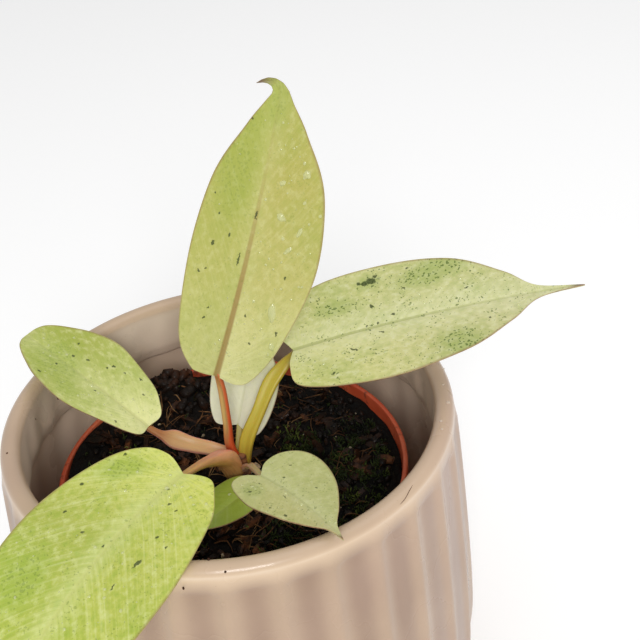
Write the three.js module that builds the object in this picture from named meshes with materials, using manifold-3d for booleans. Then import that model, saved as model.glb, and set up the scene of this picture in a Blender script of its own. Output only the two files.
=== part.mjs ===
// A young philodendron in a plastic growing pot that stands inside a fluted ceramic cover pot.
// Millimetres, +Z up. The origin is the middle of the cover pot's foot, on the surface it stands on.
import * as THREE from 'three';
import { mergeVertices } from 'three/addons/utils/BufferGeometryUtils.js';
import Module from 'manifold-3d';

const wasm = await Module();
wasm.setup();

// Cover pot
const POT_HEIGHT = 135;
const RIM_RADIUS = 73.8;
const LIP_THICKNESS = 6.4;
const BELLY_RADIUS = 80.3;
const BELLY_HEIGHT = 37;
const FOOT_RADIUS = 66;
const FLOOR_TOP = 10;
const LEDGE_DROP = 21.6;
const LEDGE_RADIUS = 68.6;
const LEDGE_STEP = 2.2;
const FLUTES = 30;
const FLUTE_DEPTH = 1.3;
const FLUTE_TOP_DROP = 4.5;
const FLUTE_FOOT = 7;
const FLUTE_ARCH = 3;
const FLUTE_FADE = 5;
const STEPS_PER_FLUTE = 4;

// Growing pot
const GROWING_RIM_RADIUS = 59.3;
const GROWING_RIM_THICKNESS = 1.7;
const GROWING_RIM_ROUNDING = 0.6;
const GROWING_RIM_BAND = 8;
const GROWING_WALL = 1.5;
const GROWING_FOOT_RADIUS = 43;
const GROWING_RIM_DROP = 26;
const GROWING_SHIFT_X = -0.9;
const DRAIN_HOLES = 6;
const DRAIN_HOLE_RADIUS = 4;
const DRAIN_RING_RADIUS = 30;

// Potting mix
const SOIL_DROP = 30.5;
const SOIL_RADIUS = GROWING_RIM_RADIUS - GROWING_RIM_THICKNESS - 0.7;
const SOIL_SPOKES = 40;
const SOIL_RINGS = 9;
const CHIP_COUNT = 46;

// Stem
const STEM_BOTTOM_DROP = 62;
const STEM_TOP_DROP = 21.5;
const STEM_RADIUS = 3.4;

// What touches keeps this much air
const CLEARANCE = 0.3;

// Leaves
const BLADE_THICKNESS = 0.7;
const MIDRIB_DEPTH = 1.1;
const MIDRIB_GROOVE = 0.35;
const BLADE_COLUMNS = 4;
const PETIOLE_SIDES = 8;
const PETIOLE_STEPS = 10;
const SEAT_REACH = 1.2;
const SEAT_DEPTH = 1.1;

const FLOOR_GAP_TOP = FLOOR_TOP + CLEARANCE;
const GROWING_RIM_TOP = POT_HEIGHT - GROWING_RIM_DROP;
const SOIL_TOP = POT_HEIGHT - SOIL_DROP;

// Each leaf: junction is where its blade meets its petiole, x and y from the pot's middle and z from
// the rim's top. Azimuth turns it round the pot, pitch lifts it, roll turns it about its midrib.
// Along the blade, bend lifts the tip, sway turns it to the left and twist turns it about the midrib.
// Lobes, widest, neck are shares of the length; heel, flanks, shoulder and neckWidth shares of the half
// width. Lobes and flanks are given for the left half and the right.
// A petiole's route starts in the stem and ends in a seat below the blade's junction, which is worked out.
const LEAVES = [
  {
    name: 'upright', colour: 0xbec26e, petioleColour: 0xbb5a2c,
    junction: [-2.8, 4.2, 8], azimuth: 28, pitch: 66, roll: 61, bend: 3, sway: 6.5, twist: 0,
    length: 104, width: 44, leftShare: 0.83, rightShare: 1.01, fold: 8, wave: 0.4,
    lobes: [-0.005, -0.002], heel: 0.45, flanks: [0.88, 0.8], widest: 0.41, shoulder: 0.885, neck: 0.93,
    neckWidth: 0.1, hook: 120, curl: 0, rows: 24,
    petiole: {
      route: [[2, 0.2, -27], [-1.1, 0.8, -19.5], [-1.2, 1.8, -9], [-1.6, 4.4, 2]],
      widths: [4.6, 4, 3.8, 3.6, 2.8], depths: [3.4, 3, 2.8, 2.6, 2.3], face: [-0.8, -0.6, 0.2],
    },
  },
  {
    name: 'right', colour: 0xb9c78d, petioleColour: 0xb0a243,
    junction: [22.8, 12.2, 10.5], azimuth: 3, pitch: 12.5, roll: 15.5, bend: -1, sway: -10, twist: 5.5,
    length: 97, width: 45, leftShare: 1.04, rightShare: 1, fold: 6, wave: 0.5,
    lobes: [0.04, 0.02], heel: 0.72, flanks: [0.94, 0.94], widest: 0.36, shoulder: 0.83, neck: 0.86,
    neckWidth: 0.09, hook: 0, curl: 0, rows: 20,
    petiole: {
      route: [[2.8, 0, -27], [4.6, 0.6, -17], [9.4, 4, -8], [14.7, 8.6, 1], [20, 11.4, 5.8]],
      widths: [4.4, 5.8, 4.6, 5.4, 2.7, 2.3], depths: [3.4, 3.4, 3, 2.6, 2.1, 1.9], face: [-0.3, -0.75, 0.6],
    },
  },
  {
    name: 'left', colour: 0xb4cc76, petioleColour: 0xc08a5a,
    junction: [-27.8, 4.6, -10.5], azimuth: 145.5, pitch: 28, roll: 0, bend: -9, sway: -1, twist: -2,
    length: 55, width: 33, leftShare: 0.92, rightShare: 1.06, fold: 8, wave: 0.4,
    lobes: [0.018, 0.006], heel: 0.43, flanks: [0.75, 0.75], widest: 0.5, shoulder: 0.95, neck: 0.955,
    neckWidth: 0.46, hook: 0, curl: 0, rows: 16,
    petiole: {
      route: [
        [0.6, 0.6, -23.5], [-7.4, 2, -20.6], [-14.4, 3.4, -19], [-20.2, 4.2, -16.6], [-24.4, 4.6, -14.4],
      ],
      widths: [4.4, 5, 5.6, 6.6, 3, 2.4], depths: [3.4, 3, 2.8, 2.6, 2.2, 1.9], face: [0, -0.5, 0.85],
    },
  },
  {
    name: 'front', colour: 0xb2c653, petioleColour: 0xc9825c,
    junction: [-11.7, -36.8, 3.9], azimuth: 238, pitch: 12, roll: -17, bend: -38, sway: 18, twist: 3,
    length: 110, width: 47.5, leftShare: 0.95, rightShare: 0.98, fold: 4, wave: 0.7,
    lobes: [0.02, 0.03], heel: 0.54, flanks: [0.83, 0.83], widest: 0.35, shoulder: 0.92, neck: 0.91,
    neckWidth: 0.1, hook: 0, curl: -20, rows: 20,
    petiole: {
      route: [[-0.6, -2.4, -28.6], [-2.6, -5.8, -18.6], [-6, -14, -11.9], [-8.8, -24, -5]],
      widths: [7, 8.6, 5.8, 3.8, 2.5], depths: [5.4, 6.4, 4.2, 2.8, 2.2], face: [0, 0.5, 0.85],
    },
  },
  {
    name: 'heart', colour: 0xb4c387, petioleColour: 0xd0a58c,
    junction: [10.6, -34, -1.9], azimuth: 308, pitch: 14, roll: 2, bend: -12, sway: -10, twist: 2,
    length: 43, width: 27, leftShare: 1.07, rightShare: 0.92, fold: 7, wave: 0.25,
    lobes: [0.08, 0.1], heel: 0.74, flanks: [0.95, 0.94], widest: 0.29, shoulder: 0.8, neck: 0.88,
    neckWidth: 0.1, hook: 0, curl: 0, rows: 14,
    petiole: {
      route: [[2.4, -1.6, -27.4], [5, -8, -20.4], [7.6, -19, -12.4]],
      widths: [3.6, 3, 2.4, 2], depths: [2.8, 2.4, 2.1, 1.9], face: [0, 0.4, 0.9],
    },
  },
  {
    name: 'low', colour: 0x7e9a32, petioleColour: 0xa8904c,
    junction: [5.6, -14.2, -24.4], azimuth: 228, pitch: 5, roll: 2, bend: -6, sway: -2, twist: 0,
    length: 29, width: 18, leftShare: 1, rightShare: 1, fold: 6, wave: 0.2,
    lobes: [0.1, 0.1], heel: 0.72, flanks: [0.94, 0.94], widest: 0.36, shoulder: 0.88, neck: 0.9,
    neckWidth: 0.1, hook: 0, curl: 0, rows: 12,
    petiole: {
      route: [[2, -1.6, -30], [3.8, -6.4, -28.2]],
      widths: [2.8, 2.2, 1.8], depths: [2.4, 2, 1.7], face: [0, 0, 1],
    },
  },
  {
    name: 'back', colour: 0xd8dcb4, petioleColour: 0xc9c08a,
    junction: [1.2, 10.8, -18.1], azimuth: 57, pitch: 60, roll: 1, bend: 2, sway: 0, twist: 3.5,
    length: 44, width: 26, leftShare: 1, rightShare: 1.02, fold: 5, wave: 0.25,
    lobes: [0.03, 0.03], heel: 0.7, flanks: [0.93, 0.93], widest: 0.42, shoulder: 0.66, neck: 0.89,
    neckWidth: 0.1, hook: 0, curl: 0, rows: 14,
    petiole: {
      route: [[1.4, 1.8, -29], [1, 7, -25.4]],
      widths: [3, 2.6, 2.2], depths: [2.6, 2.2, 1.9], face: [0, -0.7, 0.6],
    },
  },
];

function standard(colour, roughness) {
  return new THREE.MeshStandardMaterial({ color: colour, roughness, metalness: 0 });
}

function namedMesh(name, geometry, material) {
  const mesh = new THREE.Mesh(geometry, material);
  mesh.name = name;
  return mesh;
}

function seededRandom(seed) {
  let state = seed;
  return () => {
    state = (state * 1664525 + 1013904223) % 4294967296;
    return state / 4294967296;
  };
}

function mergedByPlace(geometry) {
  geometry.deleteAttribute('normal');
  geometry.deleteAttribute('uv');
  return mergeVertices(geometry, 1e-4);
}

// Drops the triangles that have shrunk to a line, as they do at an axis or a leaf's tip.
function withoutFlatTriangles(geometry) {
  const old = geometry.index.array;
  const kept = [];
  for (let i = 0; i < old.length; i += 3) {
    const [a, b, c] = [old[i], old[i + 1], old[i + 2]];
    if (a !== b && b !== c && c !== a) kept.push(a, b, c);
  }
  geometry.setIndex(kept);
  return geometry;
}

function solidOf(geometry) {
  const merged = withoutFlatTriangles(mergedByPlace(geometry));
  return new wasm.Manifold(new wasm.Mesh({
    numProp: 3,
    vertProperties: new Float32Array(merged.attributes.position.array),
    triVerts: new Uint32Array(merged.index.array),
  }));
}

function geometryOf(solid) {
  const mesh = solid.getMesh();
  const geometry = new THREE.BufferGeometry();
  geometry.setAttribute('position', new THREE.BufferAttribute(new Float32Array(mesh.vertProperties), 3));
  geometry.setIndex(new THREE.BufferAttribute(new Uint32Array(mesh.triVerts), 1));
  return geometry;
}

function lathed(points, segments) {
  const profile = points.map(([radius, height]) => new THREE.Vector2(radius, height));
  const geometry = new THREE.LatheGeometry(profile, segments);
  geometry.rotateX(Math.PI / 2);
  return geometry;
}

// Points of a quarter or half circle, for the profile of a rounded lip.
function arcPoints(centre, radius, fromDegrees, toDegrees, steps) {
  const points = [];
  for (let i = 0; i <= steps; i += 1) {
    const angle = THREE.MathUtils.degToRad(fromDegrees + (toDegrees - fromDegrees) * i / steps);
    points.push([centre[0] + radius * Math.cos(angle), centre[1] + radius * Math.sin(angle)]);
  }
  return points;
}

// How far a flute cuts into the wall: wide hollows between narrow ridges, that fade out below the lip.
function fluteCut(angle, height) {
  const across = Math.abs(Math.cos(angle * FLUTES / 2));
  const top = POT_HEIGHT - FLUTE_TOP_DROP;
  const archTop = top - FLUTE_ARCH * (1 - Math.sqrt(Math.max(0, 1 - (1 - across) ** 2)));
  const fadeTop = THREE.MathUtils.smoothstep(archTop - height, 0, FLUTE_FADE);
  const fadeFoot = THREE.MathUtils.smoothstep(height, FLUTE_FOOT - 3, FLUTE_FOOT + FLUTE_FADE);
  return FLUTE_DEPTH * (1 - (1 - across) ** 2.4) * fadeTop * fadeFoot;
}

function coverPot() {
  const lip = LIP_THICKNESS / 2;
  const lipCentre = [RIM_RADIUS - lip, POT_HEIGHT - lip];
  const ledge = POT_HEIGHT - LEDGE_DROP;
  const outside = [
    [FOOT_RADIUS - 1.5, 0], [FOOT_RADIUS, 1.5], [FOOT_RADIUS + 5.5, 6.5], [FOOT_RADIUS + 10, 14],
    [BELLY_RADIUS - 1.2, 25], [BELLY_RADIUS, BELLY_HEIGHT], [BELLY_RADIUS - 0.2, 52],
    [78.9, 75], [77.5, 96], [75.6, 120], [RIM_RADIUS + 1.1, POT_HEIGHT - 7.6],
  ];
  const inside = [
    [LEDGE_RADIUS - 1.4, ledge + 7.6], [LEDGE_RADIUS - 0.4, ledge + 1.6], [LEDGE_RADIUS, ledge],
    [LEDGE_RADIUS + LEDGE_STEP, ledge - 0.8],
    [72.8, 80], [72.4, 45], [69, 24], [58, FLOOR_TOP], [0, FLOOR_TOP],
  ];
  const profile = [[0, 0], ...outside, ...arcPoints(lipCentre, lip, 10, 180, 6), ...inside];
  const geometry = lathed(profile, FLUTES * STEPS_PER_FLUTE);
  const place = geometry.attributes.position;
  const outsideFrom = (height) => (height < 20 ? 60 : 74);
  for (let i = 0; i < place.count; i += 1) {
    const [x, y, z] = [place.getX(i), place.getY(i), place.getZ(i)];
    const radius = Math.hypot(x, y);
    if (radius < outsideFrom(z)) continue;
    const scale = 1 - fluteCut(Math.atan2(y, x), z) / radius;
    place.setXY(i, x * scale, y * scale);
  }
  return geometry;
}

function growingWallRadius(height) {
  const rise = (height - FLOOR_GAP_TOP) / (GROWING_RIM_TOP - FLOOR_GAP_TOP);
  return THREE.MathUtils.lerp(GROWING_FOOT_RADIUS, GROWING_RIM_RADIUS - 1.6, rise);
}

function growingPot() {
  const bandFoot = GROWING_RIM_TOP - GROWING_RIM_BAND;
  const rimInside = GROWING_RIM_RADIUS - GROWING_RIM_THICKNESS;
  const profile = [
    [0, FLOOR_GAP_TOP],
    [GROWING_FOOT_RADIUS - 1, FLOOR_GAP_TOP],
    [GROWING_FOOT_RADIUS, FLOOR_GAP_TOP + 1],
    [growingWallRadius(bandFoot), bandFoot],
    [GROWING_RIM_RADIUS, bandFoot],
    [GROWING_RIM_RADIUS, GROWING_RIM_TOP - GROWING_RIM_ROUNDING],
    [GROWING_RIM_RADIUS - GROWING_RIM_ROUNDING, GROWING_RIM_TOP],
    [rimInside + GROWING_RIM_ROUNDING, GROWING_RIM_TOP],
    [rimInside, GROWING_RIM_TOP - GROWING_RIM_ROUNDING],
    [rimInside - 0.3, bandFoot + 2.4],
    [growingWallRadius(bandFoot) - GROWING_WALL, bandFoot],
    [GROWING_FOOT_RADIUS - GROWING_WALL, FLOOR_GAP_TOP + GROWING_WALL],
    [0, FLOOR_GAP_TOP + GROWING_WALL],
  ];
  let pot = solidOf(lathed(profile, 48));
  for (let hole = 0; hole < DRAIN_HOLES; hole += 1) {
    const angle = hole * 2 * Math.PI / DRAIN_HOLES;
    const drill = new THREE.CylinderGeometry(DRAIN_HOLE_RADIUS, DRAIN_HOLE_RADIUS, 8, 10);
    drill.rotateX(Math.PI / 2);
    drill.translate(DRAIN_RING_RADIUS * Math.cos(angle), DRAIN_RING_RADIUS * Math.sin(angle), FLOOR_GAP_TOP);
    pot = pot.subtract(solidOf(drill));
  }
  return geometryOf(pot).translate(GROWING_SHIFT_X, 0, 0);
}

// Height of the mix above its mean level: low swells, a heap against the back left of the pot's rim,
// a bank along the left of the rim and a shallow dish round the stem.
function soilSwell(x, y) {
  const swell = 0.9 * Math.sin(0.16 * x + 0.6) * Math.cos(0.14 * y + 0.3);
  const ripple = 0.5 * Math.sin(0.37 * x - 0.29 * y);
  const heap = 8.5 * Math.exp(-(((x + 25) / 13) ** 2) - ((y - 45) / 8) ** 2);
  const rimBank = (0.7 - 0.012 * x) * THREE.MathUtils.smoothstep(Math.hypot(x, y), 36, 54);
  const dish = 1.6 * Math.exp(-((x - 1) ** 2 + y ** 2) / 220);
  return swell + ripple + heap + rimBank - dish;
}

function soilWallRadius(height) {
  return growingWallRadius(height) - GROWING_WALL - 2 * CLEARANCE;
}

function soilBody() {
  const bottom = FLOOR_GAP_TOP + GROWING_WALL + CLEARANCE;
  const bandFoot = GROWING_RIM_TOP - GROWING_RIM_BAND;
  const outer = SOIL_RADIUS;
  const profile = [[0, bottom], [soilWallRadius(bottom) - 1, bottom], [soilWallRadius(bottom), bottom + 1]];
  profile.push([soilWallRadius(bandFoot - 0.2), bandFoot - 0.2], [outer, bandFoot + 2.9], [outer, SOIL_TOP]);
  for (let ring = SOIL_RINGS - 1; ring >= 0; ring -= 1) profile.push([outer * ring / SOIL_RINGS, SOIL_TOP]);
  const geometry = lathed(profile, SOIL_SPOKES);
  const place = geometry.attributes.position;
  const random = seededRandom(31);
  const roughness = new Map();
  for (let i = 0; i < place.count; i += 1) {
    if (place.getZ(i) < SOIL_TOP - 0.01) continue;
    const [x, y] = [place.getX(i), place.getY(i)];
    const key = `${Math.round(x * 20)} ${Math.round(y * 20)}`;
    if (!roughness.has(key)) roughness.set(key, 1.3 * (random() - 0.5));
    const edgeLevel = Math.hypot(x, y) > outer - 1 ? SOIL_TOP - 0.3 : 0;
    place.setZ(i, Math.max(SOIL_TOP + soilSwell(x, y) + roughness.get(key), edgeLevel));
  }
  return geometry;
}

// A bark chip or crumb of grit: a box or a rough ball, tipped at random and sunk by a third.
function soilChip(random) {
  const angle = random() * 2 * Math.PI;
  const reach = THREE.MathUtils.lerp(11, SOIL_RADIUS - 5, Math.sqrt(random()));
  const [x, y] = [reach * Math.cos(angle), reach * Math.sin(angle)];
  const size = THREE.MathUtils.lerp(2.4, 5, random());
  const flake = random() < 0.6;
  const chip = flake
    ? new THREE.BoxGeometry(size * 1.9, size * 0.9, size * 0.5)
    : new THREE.IcosahedronGeometry(size * 0.55, 0);
  chip.rotateY((random() - 0.5) * 0.9);
  chip.rotateZ(random() * 2 * Math.PI);
  const height = SOIL_TOP + soilSwell(x, y) + 0.35;
  return chip.translate(x, y, height);
}

function pottingMix(stemHole, petioleHoles) {
  const random = seededRandom(7);
  let mix = solidOf(soilBody());
  for (let chip = 0; chip < CHIP_COUNT; chip += 1) {
    mix = mix.add(solidOf(soilChip(random)));
  }
  mix = mix.subtract(stemHole);
  for (const hole of petioleHoles) mix = mix.subtract(hole);
  return geometryOf(mix).translate(GROWING_SHIFT_X, 0, 0);
}

// A closed tube of oval section along a smooth route. Its flat side faces the given way.
function ovalTube({ route, widths, depths, face }, steps, sides, extra) {
  const places = route.map(([x, y, z]) => new THREE.Vector3(x, y, POT_HEIGHT + z));
  const curve = new THREE.CatmullRomCurve3(places);
  const widthCurve = new THREE.SplineCurve(widths.map((width, i) => new THREE.Vector2(i, width)));
  const depthCurve = new THREE.SplineCurve(depths.map((depth, i) => new THREE.Vector2(i, depth)));
  const facing = new THREE.Vector3(...face);
  const rings = [];
  for (let step = 0; step <= steps; step += 1) {
    const share = step / steps;
    const centre = curve.getPoint(share);
    const ahead = curve.getTangent(share);
    const side = new THREE.Vector3().crossVectors(ahead, facing).normalize();
    const up = new THREE.Vector3().crossVectors(side, ahead).normalize();
    const halfWidth = widthCurve.getPoint(share).y / 2 + extra;
    const halfDepth = depthCurve.getPoint(share).y / 2 + extra;
    if (step === 0) centre.addScaledVector(ahead, -extra);
    if (step === steps) centre.addScaledVector(ahead, extra);
    const ring = [];
    for (let i = 0; i < sides; i += 1) {
      const angle = 2 * Math.PI * i / sides;
      const point = centre.clone().addScaledVector(side, halfWidth * Math.cos(angle));
      ring.push(point.addScaledVector(up, halfDepth * Math.sin(angle)));
    }
    rings.push(ring);
  }
  return skinnedRings(rings);
}

// Joins closed rings of points into one solid, with a fan on the first and the last.
function skinnedRings(rings) {
  const sides = rings[0].length;
  const positions = [];
  const index = [];
  for (const ring of rings) ring.forEach((point) => positions.push(point.x, point.y, point.z));
  for (let row = 0; row < rings.length - 1; row += 1) {
    for (let i = 0; i < sides; i += 1) {
      const [a, b] = [row * sides + i, row * sides + (i + 1) % sides];
      index.push(a, b + sides, b, a, a + sides, b + sides);
    }
  }
  const last = (rings.length - 1) * sides;
  for (let i = 1; i < sides - 1; i += 1) {
    index.push(0, i, i + 1);
    index.push(last, last + i + 1, last + i);
  }
  const geometry = new THREE.BufferGeometry();
  geometry.setAttribute('position', new THREE.Float32BufferAttribute(positions, 3));
  geometry.setIndex(index);
  return geometry;
}

const STEM = {
  route: [[2.2, 0.2, -STEM_BOTTOM_DROP], [2, 0, -40], [1.8, -0.2, -30], [1.9, 0, -STEM_TOP_DROP]],
  widths: [4, 6, 2 * STEM_RADIUS, 4.4], depths: [4, 6, 2 * STEM_RADIUS, 4.4], face: [0, 1, 0],
};

// The ring of an old leaf scar just above the soil, and the stub of a dried sheath low on the right.
const NODE_RING = {
  route: [[1.85, -0.2, -29.2], [1.85, -0.2, -27.4]],
  widths: [2 * STEM_RADIUS + 1, 2 * STEM_RADIUS + 1], depths: [2 * STEM_RADIUS + 1, 2 * STEM_RADIUS + 1],
  face: [0, 1, 0],
};
const SHEATH_STUB = {
  route: [[2.6, -0.4, -29], [6, -1, -28], [7.6, -1.2, -26.4]],
  widths: [3.4, 3.2, 2.6], depths: [2.4, 2, 1.2], face: [0, -1, 0.4],
};

function stemSolid(extra) {
  const body = solidOf(ovalTube(STEM, 10, 10, extra));
  const ring = solidOf(ovalTube(NODE_RING, 2, 10, extra));
  const stub = solidOf(ovalTube(SHEATH_STUB, 4, 6, extra));
  return body.add(ring).add(stub);
}

function bladeTurn(leaf, along) {
  const share = THREE.MathUtils.clamp(along / leaf.length, 0, 1);
  const acumen = THREE.MathUtils.smoothstep(share, leaf.neck - 0.04, 1);
  const radians = THREE.MathUtils.degToRad;
  const whole = new THREE.Quaternion().setFromEuler(
    new THREE.Euler(radians(leaf.roll), -radians(leaf.pitch), radians(leaf.azimuth), 'ZYX'));
  const local = new THREE.Quaternion().setFromEuler(new THREE.Euler(
    radians(leaf.twist * share),
    -radians(leaf.bend * share + leaf.curl * acumen),
    radians(leaf.sway * share + leaf.hook * acumen), 'ZYX'));
  return whole.multiply(local);
}

// The midrib as a list of points, a millimetre or two apart.
function midribPoints(leaf) {
  const steps = 60;
  const stride = leaf.length / steps;
  const [x, y, z] = leaf.junction;
  const points = [new THREE.Vector3(x, y, POT_HEIGHT + z)];
  for (let step = 0; step < steps; step += 1) {
    const ahead = new THREE.Vector3(1, 0, 0).applyQuaternion(bladeTurn(leaf, (step + 0.5) * stride));
    points.push(points[step].clone().addScaledVector(ahead, stride));
  }
  return points;
}

function onMidrib(leaf, points, along) {
  if (along <= 0) {
    const ahead = new THREE.Vector3(1, 0, 0).applyQuaternion(bladeTurn(leaf, 0));
    return points[0].clone().addScaledVector(ahead, along);
  }
  const place = Math.min(along / leaf.length, 1) * (points.length - 1);
  const step = Math.min(Math.floor(place), points.length - 2);
  return points[step].clone().lerp(points[step + 1], place - step);
}

// The margin of one half of a blade, from the notch round the lobe to the tip: shares of the length,
// shares of the half width, and where on the midrib the side vein that ends there starts.
function marginCurve(leaf, side) {
  const half = side > 0 ? 0 : 1;
  const lobe = leaf.lobes[half];
  const span = leaf.neck - leaf.widest;
  return new THREE.CatmullRomCurve3([
    new THREE.Vector3(0, 0, 0),
    new THREE.Vector3(-lobe, 0.34, 0.008),
    new THREE.Vector3(-lobe * 0.5, leaf.heel, 0.03),
    new THREE.Vector3(leaf.widest * 0.36, leaf.flanks[half], 0.09),
    new THREE.Vector3(leaf.widest, 1, 0.2),
    new THREE.Vector3(leaf.widest + span * 0.42, leaf.shoulder, 0.42),
    new THREE.Vector3(leaf.widest + span * 0.78, leaf.shoulder * 0.44 + leaf.neckWidth * 0.6, 0.66),
    new THREE.Vector3(leaf.neck, leaf.neckWidth, 0.86),
    new THREE.Vector3(1, 0, 1),
  ], false, 'centripetal');
}

function bladePoint(leaf, midrib, along, across, drop) {
  const turn = bladeTurn(leaf, along);
  const left = new THREE.Vector3(0, 1, 0).applyQuaternion(turn);
  const up = new THREE.Vector3(0, 0, 1).applyQuaternion(turn);
  const reach = Math.abs(across);
  const share = reach / (leaf.width / 2);
  const fold = THREE.MathUtils.degToRad(leaf.fold);
  const phase = across < 0 ? 1.3 : 0;
  const ripple = leaf.wave * Math.sin(4 * Math.PI * along / leaf.length + phase) * share ** 2;
  const point = onMidrib(leaf, midrib, along);
  point.addScaledVector(left, across * Math.cos(fold));
  return point.addScaledVector(up, reach * Math.sin(fold) + ripple - drop);
}

// A blade is two like grids of points, upper and lower, joined round the margin. Its rows follow the
// side veins. The midrib is a shallow groove above and a round rib below.
function leafBlade(leaf) {
  const midrib = midribPoints(leaf);
  const columns = 2 * BLADE_COLUMNS + 1;
  const margins = { left: marginCurve(leaf, 1), right: marginCurve(leaf, -1) };
  const upper = [];
  const lower = [];
  for (let row = 0; row <= leaf.rows; row += 1) {
    for (let column = -BLADE_COLUMNS; column <= BLADE_COLUMNS; column += 1) {
      const side = column < 0 ? 'right' : 'left';
      const out = Math.abs(column) / BLADE_COLUMNS;
      const end = margins[side].getPoint(row / leaf.rows);
      const along = THREE.MathUtils.lerp(end.z, end.x, out) * leaf.length;
      const halfWidth = leaf.width / 2 * (side === 'left' ? leaf.leftShare : leaf.rightShare);
      const across = Math.sign(column) * end.y * halfWidth * out;
      const taper = 1 - 0.8 * along / leaf.length;
      const within = row > 0 && row < leaf.rows;
      const atRib = within && column === 0;
      const edgeThin = within ? THREE.MathUtils.lerp(1, 0.86, out) : 1;
      upper.push(bladePoint(leaf, midrib, along, across, atRib ? MIDRIB_GROOVE * taper : 0));
      lower.push(bladePoint(leaf, midrib, along, across,
        BLADE_THICKNESS * edgeThin + (atRib ? MIDRIB_DEPTH * taper : 0)));
    }
  }
  return sheetSolid(upper, lower, leaf.rows + 1, columns);
}

function sheetSolid(upper, lower, rows, columns) {
  const positions = [];
  const index = [];
  for (const point of [...upper, ...lower]) positions.push(point.x, point.y, point.z);
  const under = upper.length;
  const quad = (a, b, c, d) => index.push(a, b, c, a, c, d);
  for (let row = 0; row < rows - 1; row += 1) {
    for (let column = 0; column < columns - 1; column += 1) {
      const a = row * columns + column;
      const [b, c, d] = [a + 1, a + columns + 1, a + columns];
      quad(a, d, c, b);
      index.push(under + a, under + c, under + d, under + a, under + b, under + c);
    }
    for (const [edge, forward] of [[0, false], [columns - 1, true]]) {
      const a = row * columns + edge;
      const b = a + columns;
      if (forward) quad(a, b, b + under, a + under);
      else quad(a, a + under, b + under, b);
    }
  }
  const geometry = new THREE.BufferGeometry();
  geometry.setAttribute('position', new THREE.Float32BufferAttribute(positions, 3));
  geometry.setIndex(index);
  return withoutFlatTriangles(mergeVertices(geometry, 1e-4));
}

function petioleSolid(leaf, extra) {
  const seat = bladePoint(leaf, midribPoints(leaf), SEAT_REACH, 0, SEAT_DEPTH);
  const route = [...leaf.petiole.route, [seat.x, seat.y, seat.z - POT_HEIGHT]];
  return solidOf(ovalTube({ ...leaf.petiole, route }, PETIOLE_STEPS, PETIOLE_SIDES, extra));
}

// Cuts a petiole back from its own blade, by the clearance above, below and behind it.
function cutClear(petiole, leaf) {
  const blade = solidOf(leafBlade(leaf));
  const turn = bladeTurn(leaf, 0);
  let rest = petiole;
  for (const way of [[0, 0, 1], [0, 0, -1], [-1, 0, 0]]) {
    const shift = new THREE.Vector3(...way).applyQuaternion(turn).multiplyScalar(CLEARANCE);
    rest = rest.subtract(blade.translate(shift.toArray()));
  }
  return rest;
}

// Petioles leave the stem one above the other, so each is cut clear of the stem and of those before it.
function leafPetioles(stemGrown) {
  const petioles = new Map();
  const taken = [stemGrown];
  for (const leaf of LEAVES) {
    let solid = petioleSolid(leaf, 0);
    for (const other of taken) solid = solid.subtract(other);
    solid = cutClear(solid, leaf);
    const pieces = solid.decompose().sort((a, b) => b.volume() - a.volume());
    petioles.set(leaf.name, pieces[0]);
    taken.push(petioleSolid(leaf, CLEARANCE));
  }
  return petioles;
}

const plant = new THREE.Group();
const glaze = standard(0xcbb69c, 0.2);
const terracottaPlastic = standard(0xb8502c, 0.5);
const darkSoil = standard(0x2c1d14, 0.95);
const stemSkin = standard(0x8a6a3c, 0.6);

const stemGrown = stemSolid(CLEARANCE);
const petioles = leafPetioles(stemGrown);
const toSoil = (solid) => solid.translate([-GROWING_SHIFT_X, 0, 0]);
const soilHoles = LEAVES.map((leaf) => toSoil(petioleSolid(leaf, CLEARANCE)));

plant.add(namedMesh('cover_pot', coverPot(), glaze));
plant.add(namedMesh('growing_pot', growingPot(), terracottaPlastic));
plant.add(namedMesh('potting_mix', pottingMix(toSoil(stemGrown), soilHoles), darkSoil));
plant.add(namedMesh('stem', geometryOf(stemSolid(0)), stemSkin));
for (const leaf of LEAVES) {
  plant.add(namedMesh(`petiole_${leaf.name}`, geometryOf(petioles.get(leaf.name)),
    standard(leaf.petioleColour, 0.5)));
  plant.add(namedMesh(`blade_${leaf.name}`, leafBlade(leaf), standard(leaf.colour, 0.4)));
}

export default plant;
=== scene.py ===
# A young philodendron in its plastic growing pot, inside a fluted glazed cover pot.
import math
import random

import bmesh
import bpy
from mathutils import Euler, Matrix, Vector, noise


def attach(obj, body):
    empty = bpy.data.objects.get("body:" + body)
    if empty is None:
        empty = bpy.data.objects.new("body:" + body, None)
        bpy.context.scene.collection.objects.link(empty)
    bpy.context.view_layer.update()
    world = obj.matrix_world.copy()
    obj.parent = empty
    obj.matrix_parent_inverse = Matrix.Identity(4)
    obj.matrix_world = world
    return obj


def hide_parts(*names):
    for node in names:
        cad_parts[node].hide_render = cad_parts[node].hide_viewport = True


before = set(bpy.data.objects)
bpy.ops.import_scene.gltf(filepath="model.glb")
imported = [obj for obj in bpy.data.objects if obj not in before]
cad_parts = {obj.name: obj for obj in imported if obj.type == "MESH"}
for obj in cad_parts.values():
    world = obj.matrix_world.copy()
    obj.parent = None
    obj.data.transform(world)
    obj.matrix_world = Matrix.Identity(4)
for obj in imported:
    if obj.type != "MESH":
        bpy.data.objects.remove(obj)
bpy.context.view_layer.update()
mm = 0.001
rimHeight = 135  # mm; leaves and stem are placed from the cover pot's rim


def linear(hexColour):  # sRGB hex to the linear colour that a shader takes
    channels = [int(hexColour[i:i + 2], 16) / 255 for i in (1, 3, 5)]
    return [c / 12.92 if c <= 0.04045 else ((c + 0.055) / 1.055) ** 2.4 for c in channels] + [1]


def mix(low, high, share):
    return low + (high - low) * share


def clamp(value, low=0.0, high=1.0):
    return max(low, min(high, value))


def ease(value, low, high):  # 0 below low, 1 above high, smooth between
    share = clamp((value - low) / (high - low))
    return share * share * (3 - 2 * share)


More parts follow.
